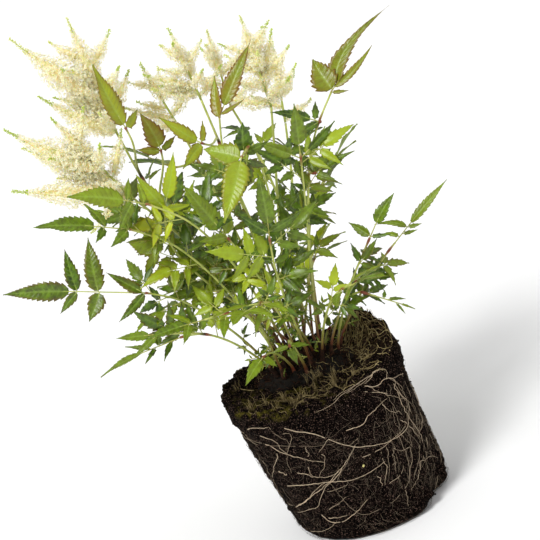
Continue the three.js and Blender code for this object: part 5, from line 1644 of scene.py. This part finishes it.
# Lamps: name, the direction that it shines from, strength, and width in the sky in degrees.
LAMPS = [("key", (-1.1, -1.5, 2.0), 2.4, 20), ("fill", (1.8, -1.2, 1.2), 0.35, 60),
         ("top", (0.3, 0.6, 2.4), 0.35, 60)]
SKY = 0.47
FLOOR = dict(half=12, z=-0.0005, tone=0.94)


def place_camera():
    eye, right, up, forward = camera_axes()
    data = bpy.data.cameras.new("camera")
    data.sensor_width = 36
    data.lens = data.sensor_width * CAMERA["distance"] / CAMERA["mm_per_pixel"] / FRAME_PIXELS
    data.clip_start, data.clip_end = 0.1, 100
    camera = bpy.data.objects.new("camera", data)
    bpy.context.scene.collection.objects.link(camera)
    turn = Matrix([list(axis) for axis in (right, up, -forward)]).transposed()
    camera.matrix_world = Matrix.Translation(eye * MM) @ turn.to_4x4()
    bpy.context.scene.camera = camera


def far_light(name, toward, strength, width):
    """A lamp so far away that it lights the whole floor evenly."""
    light = bpy.data.lights.new(name, "SUN")
    light.energy, light.angle = strength, math.radians(width)
    lamp = bpy.data.objects.new(name, light)
    lamp.rotation_euler = (-Vector(toward)).to_track_quat("-Z", "Y").to_euler()
    lamp.location = Vector(toward)
    bpy.context.scene.collection.objects.link(lamp)


def make_stage():
    """The pale floor, a white sky and the lamps."""
    half = FLOOR["half"]
    mesh = bpy.data.meshes.new("floor")
    mesh.from_pydata([(-half, -half, 0), (half, -half, 0), (half, half, 0), (-half, half, 0)], [],
                     [(0, 1, 2, 3)])
    floor = bpy.data.objects.new("floor", mesh)
    floor.location.z = FLOOR["z"]
    bpy.context.scene.collection.objects.link(floor)
    p = Paint("pale_floor", Roughness=0.9, Base_Color=(FLOOR["tone"],) * 3 + (1,))
    mesh.materials.append(p.material)
    world = bpy.data.worlds.new("studio")
    world.use_nodes = True
    world.node_tree.nodes["Background"].inputs["Color"].default_value = (1, 1, 1, 1)
    world.node_tree.nodes["Background"].inputs["Strength"].default_value = SKY
    bpy.context.scene.world = world
    bpy.context.scene.view_settings.view_transform = "Standard"
    for lamp in LAMPS:
        far_light(*lamp)


# ---------------------------------------------------------------- the plant

STEMS = grow_stems()
BRANCHES = [branch for i, (name, leaf) in enumerate(LEAVES.items())
            for branch in leaf_branches(name, leaf, SEEDS["leaf"] + i)]
PANICLES = [grow_panicle(plume) for plume in PLUMES]

place_camera()
make_stage()
STEM_PAINT = stem_paint()
LEAF_TOP = leaf_paint("leaf_top", deep=(24, 44, 1), fresh=(88, 122, 6), young=(186, 202, 28),
                      rusty=(132, 118, 18), bronze=(118, 70, 16), rough=0.32)
LEAF_UNDER = leaf_paint("leaf_under", deep=(60, 86, 14), fresh=(102, 130, 28), young=(170, 184, 40),
                        rusty=(140, 122, 40), bronze=(128, 92, 40), rough=0.5)
make_leaves([LEAF_TOP, LEAF_UNDER, STEM_PAINT])
make_heads([petal_paint(), bud_paint(), STEM_PAINT])
make_ball([soil_paint(), litter_paint("straw", (140, 120, 70), (226, 206, 150), (70, 54, 30)),
           litter_paint("pebble", (214, 204, 128), (232, 224, 150), (214, 204, 128))])
# The crown's mound and crumbs are near black: the old crown's own dark together with painted shade under the
# foliage.
make_crown([litter_paint("crown", (3, 2, 2), (26, 21, 15), (30, 25, 14)),
            litter_paint("sheath", (34, 20, 14), (86, 54, 36), (18, 12, 9))])
make_roots([root_paint()])
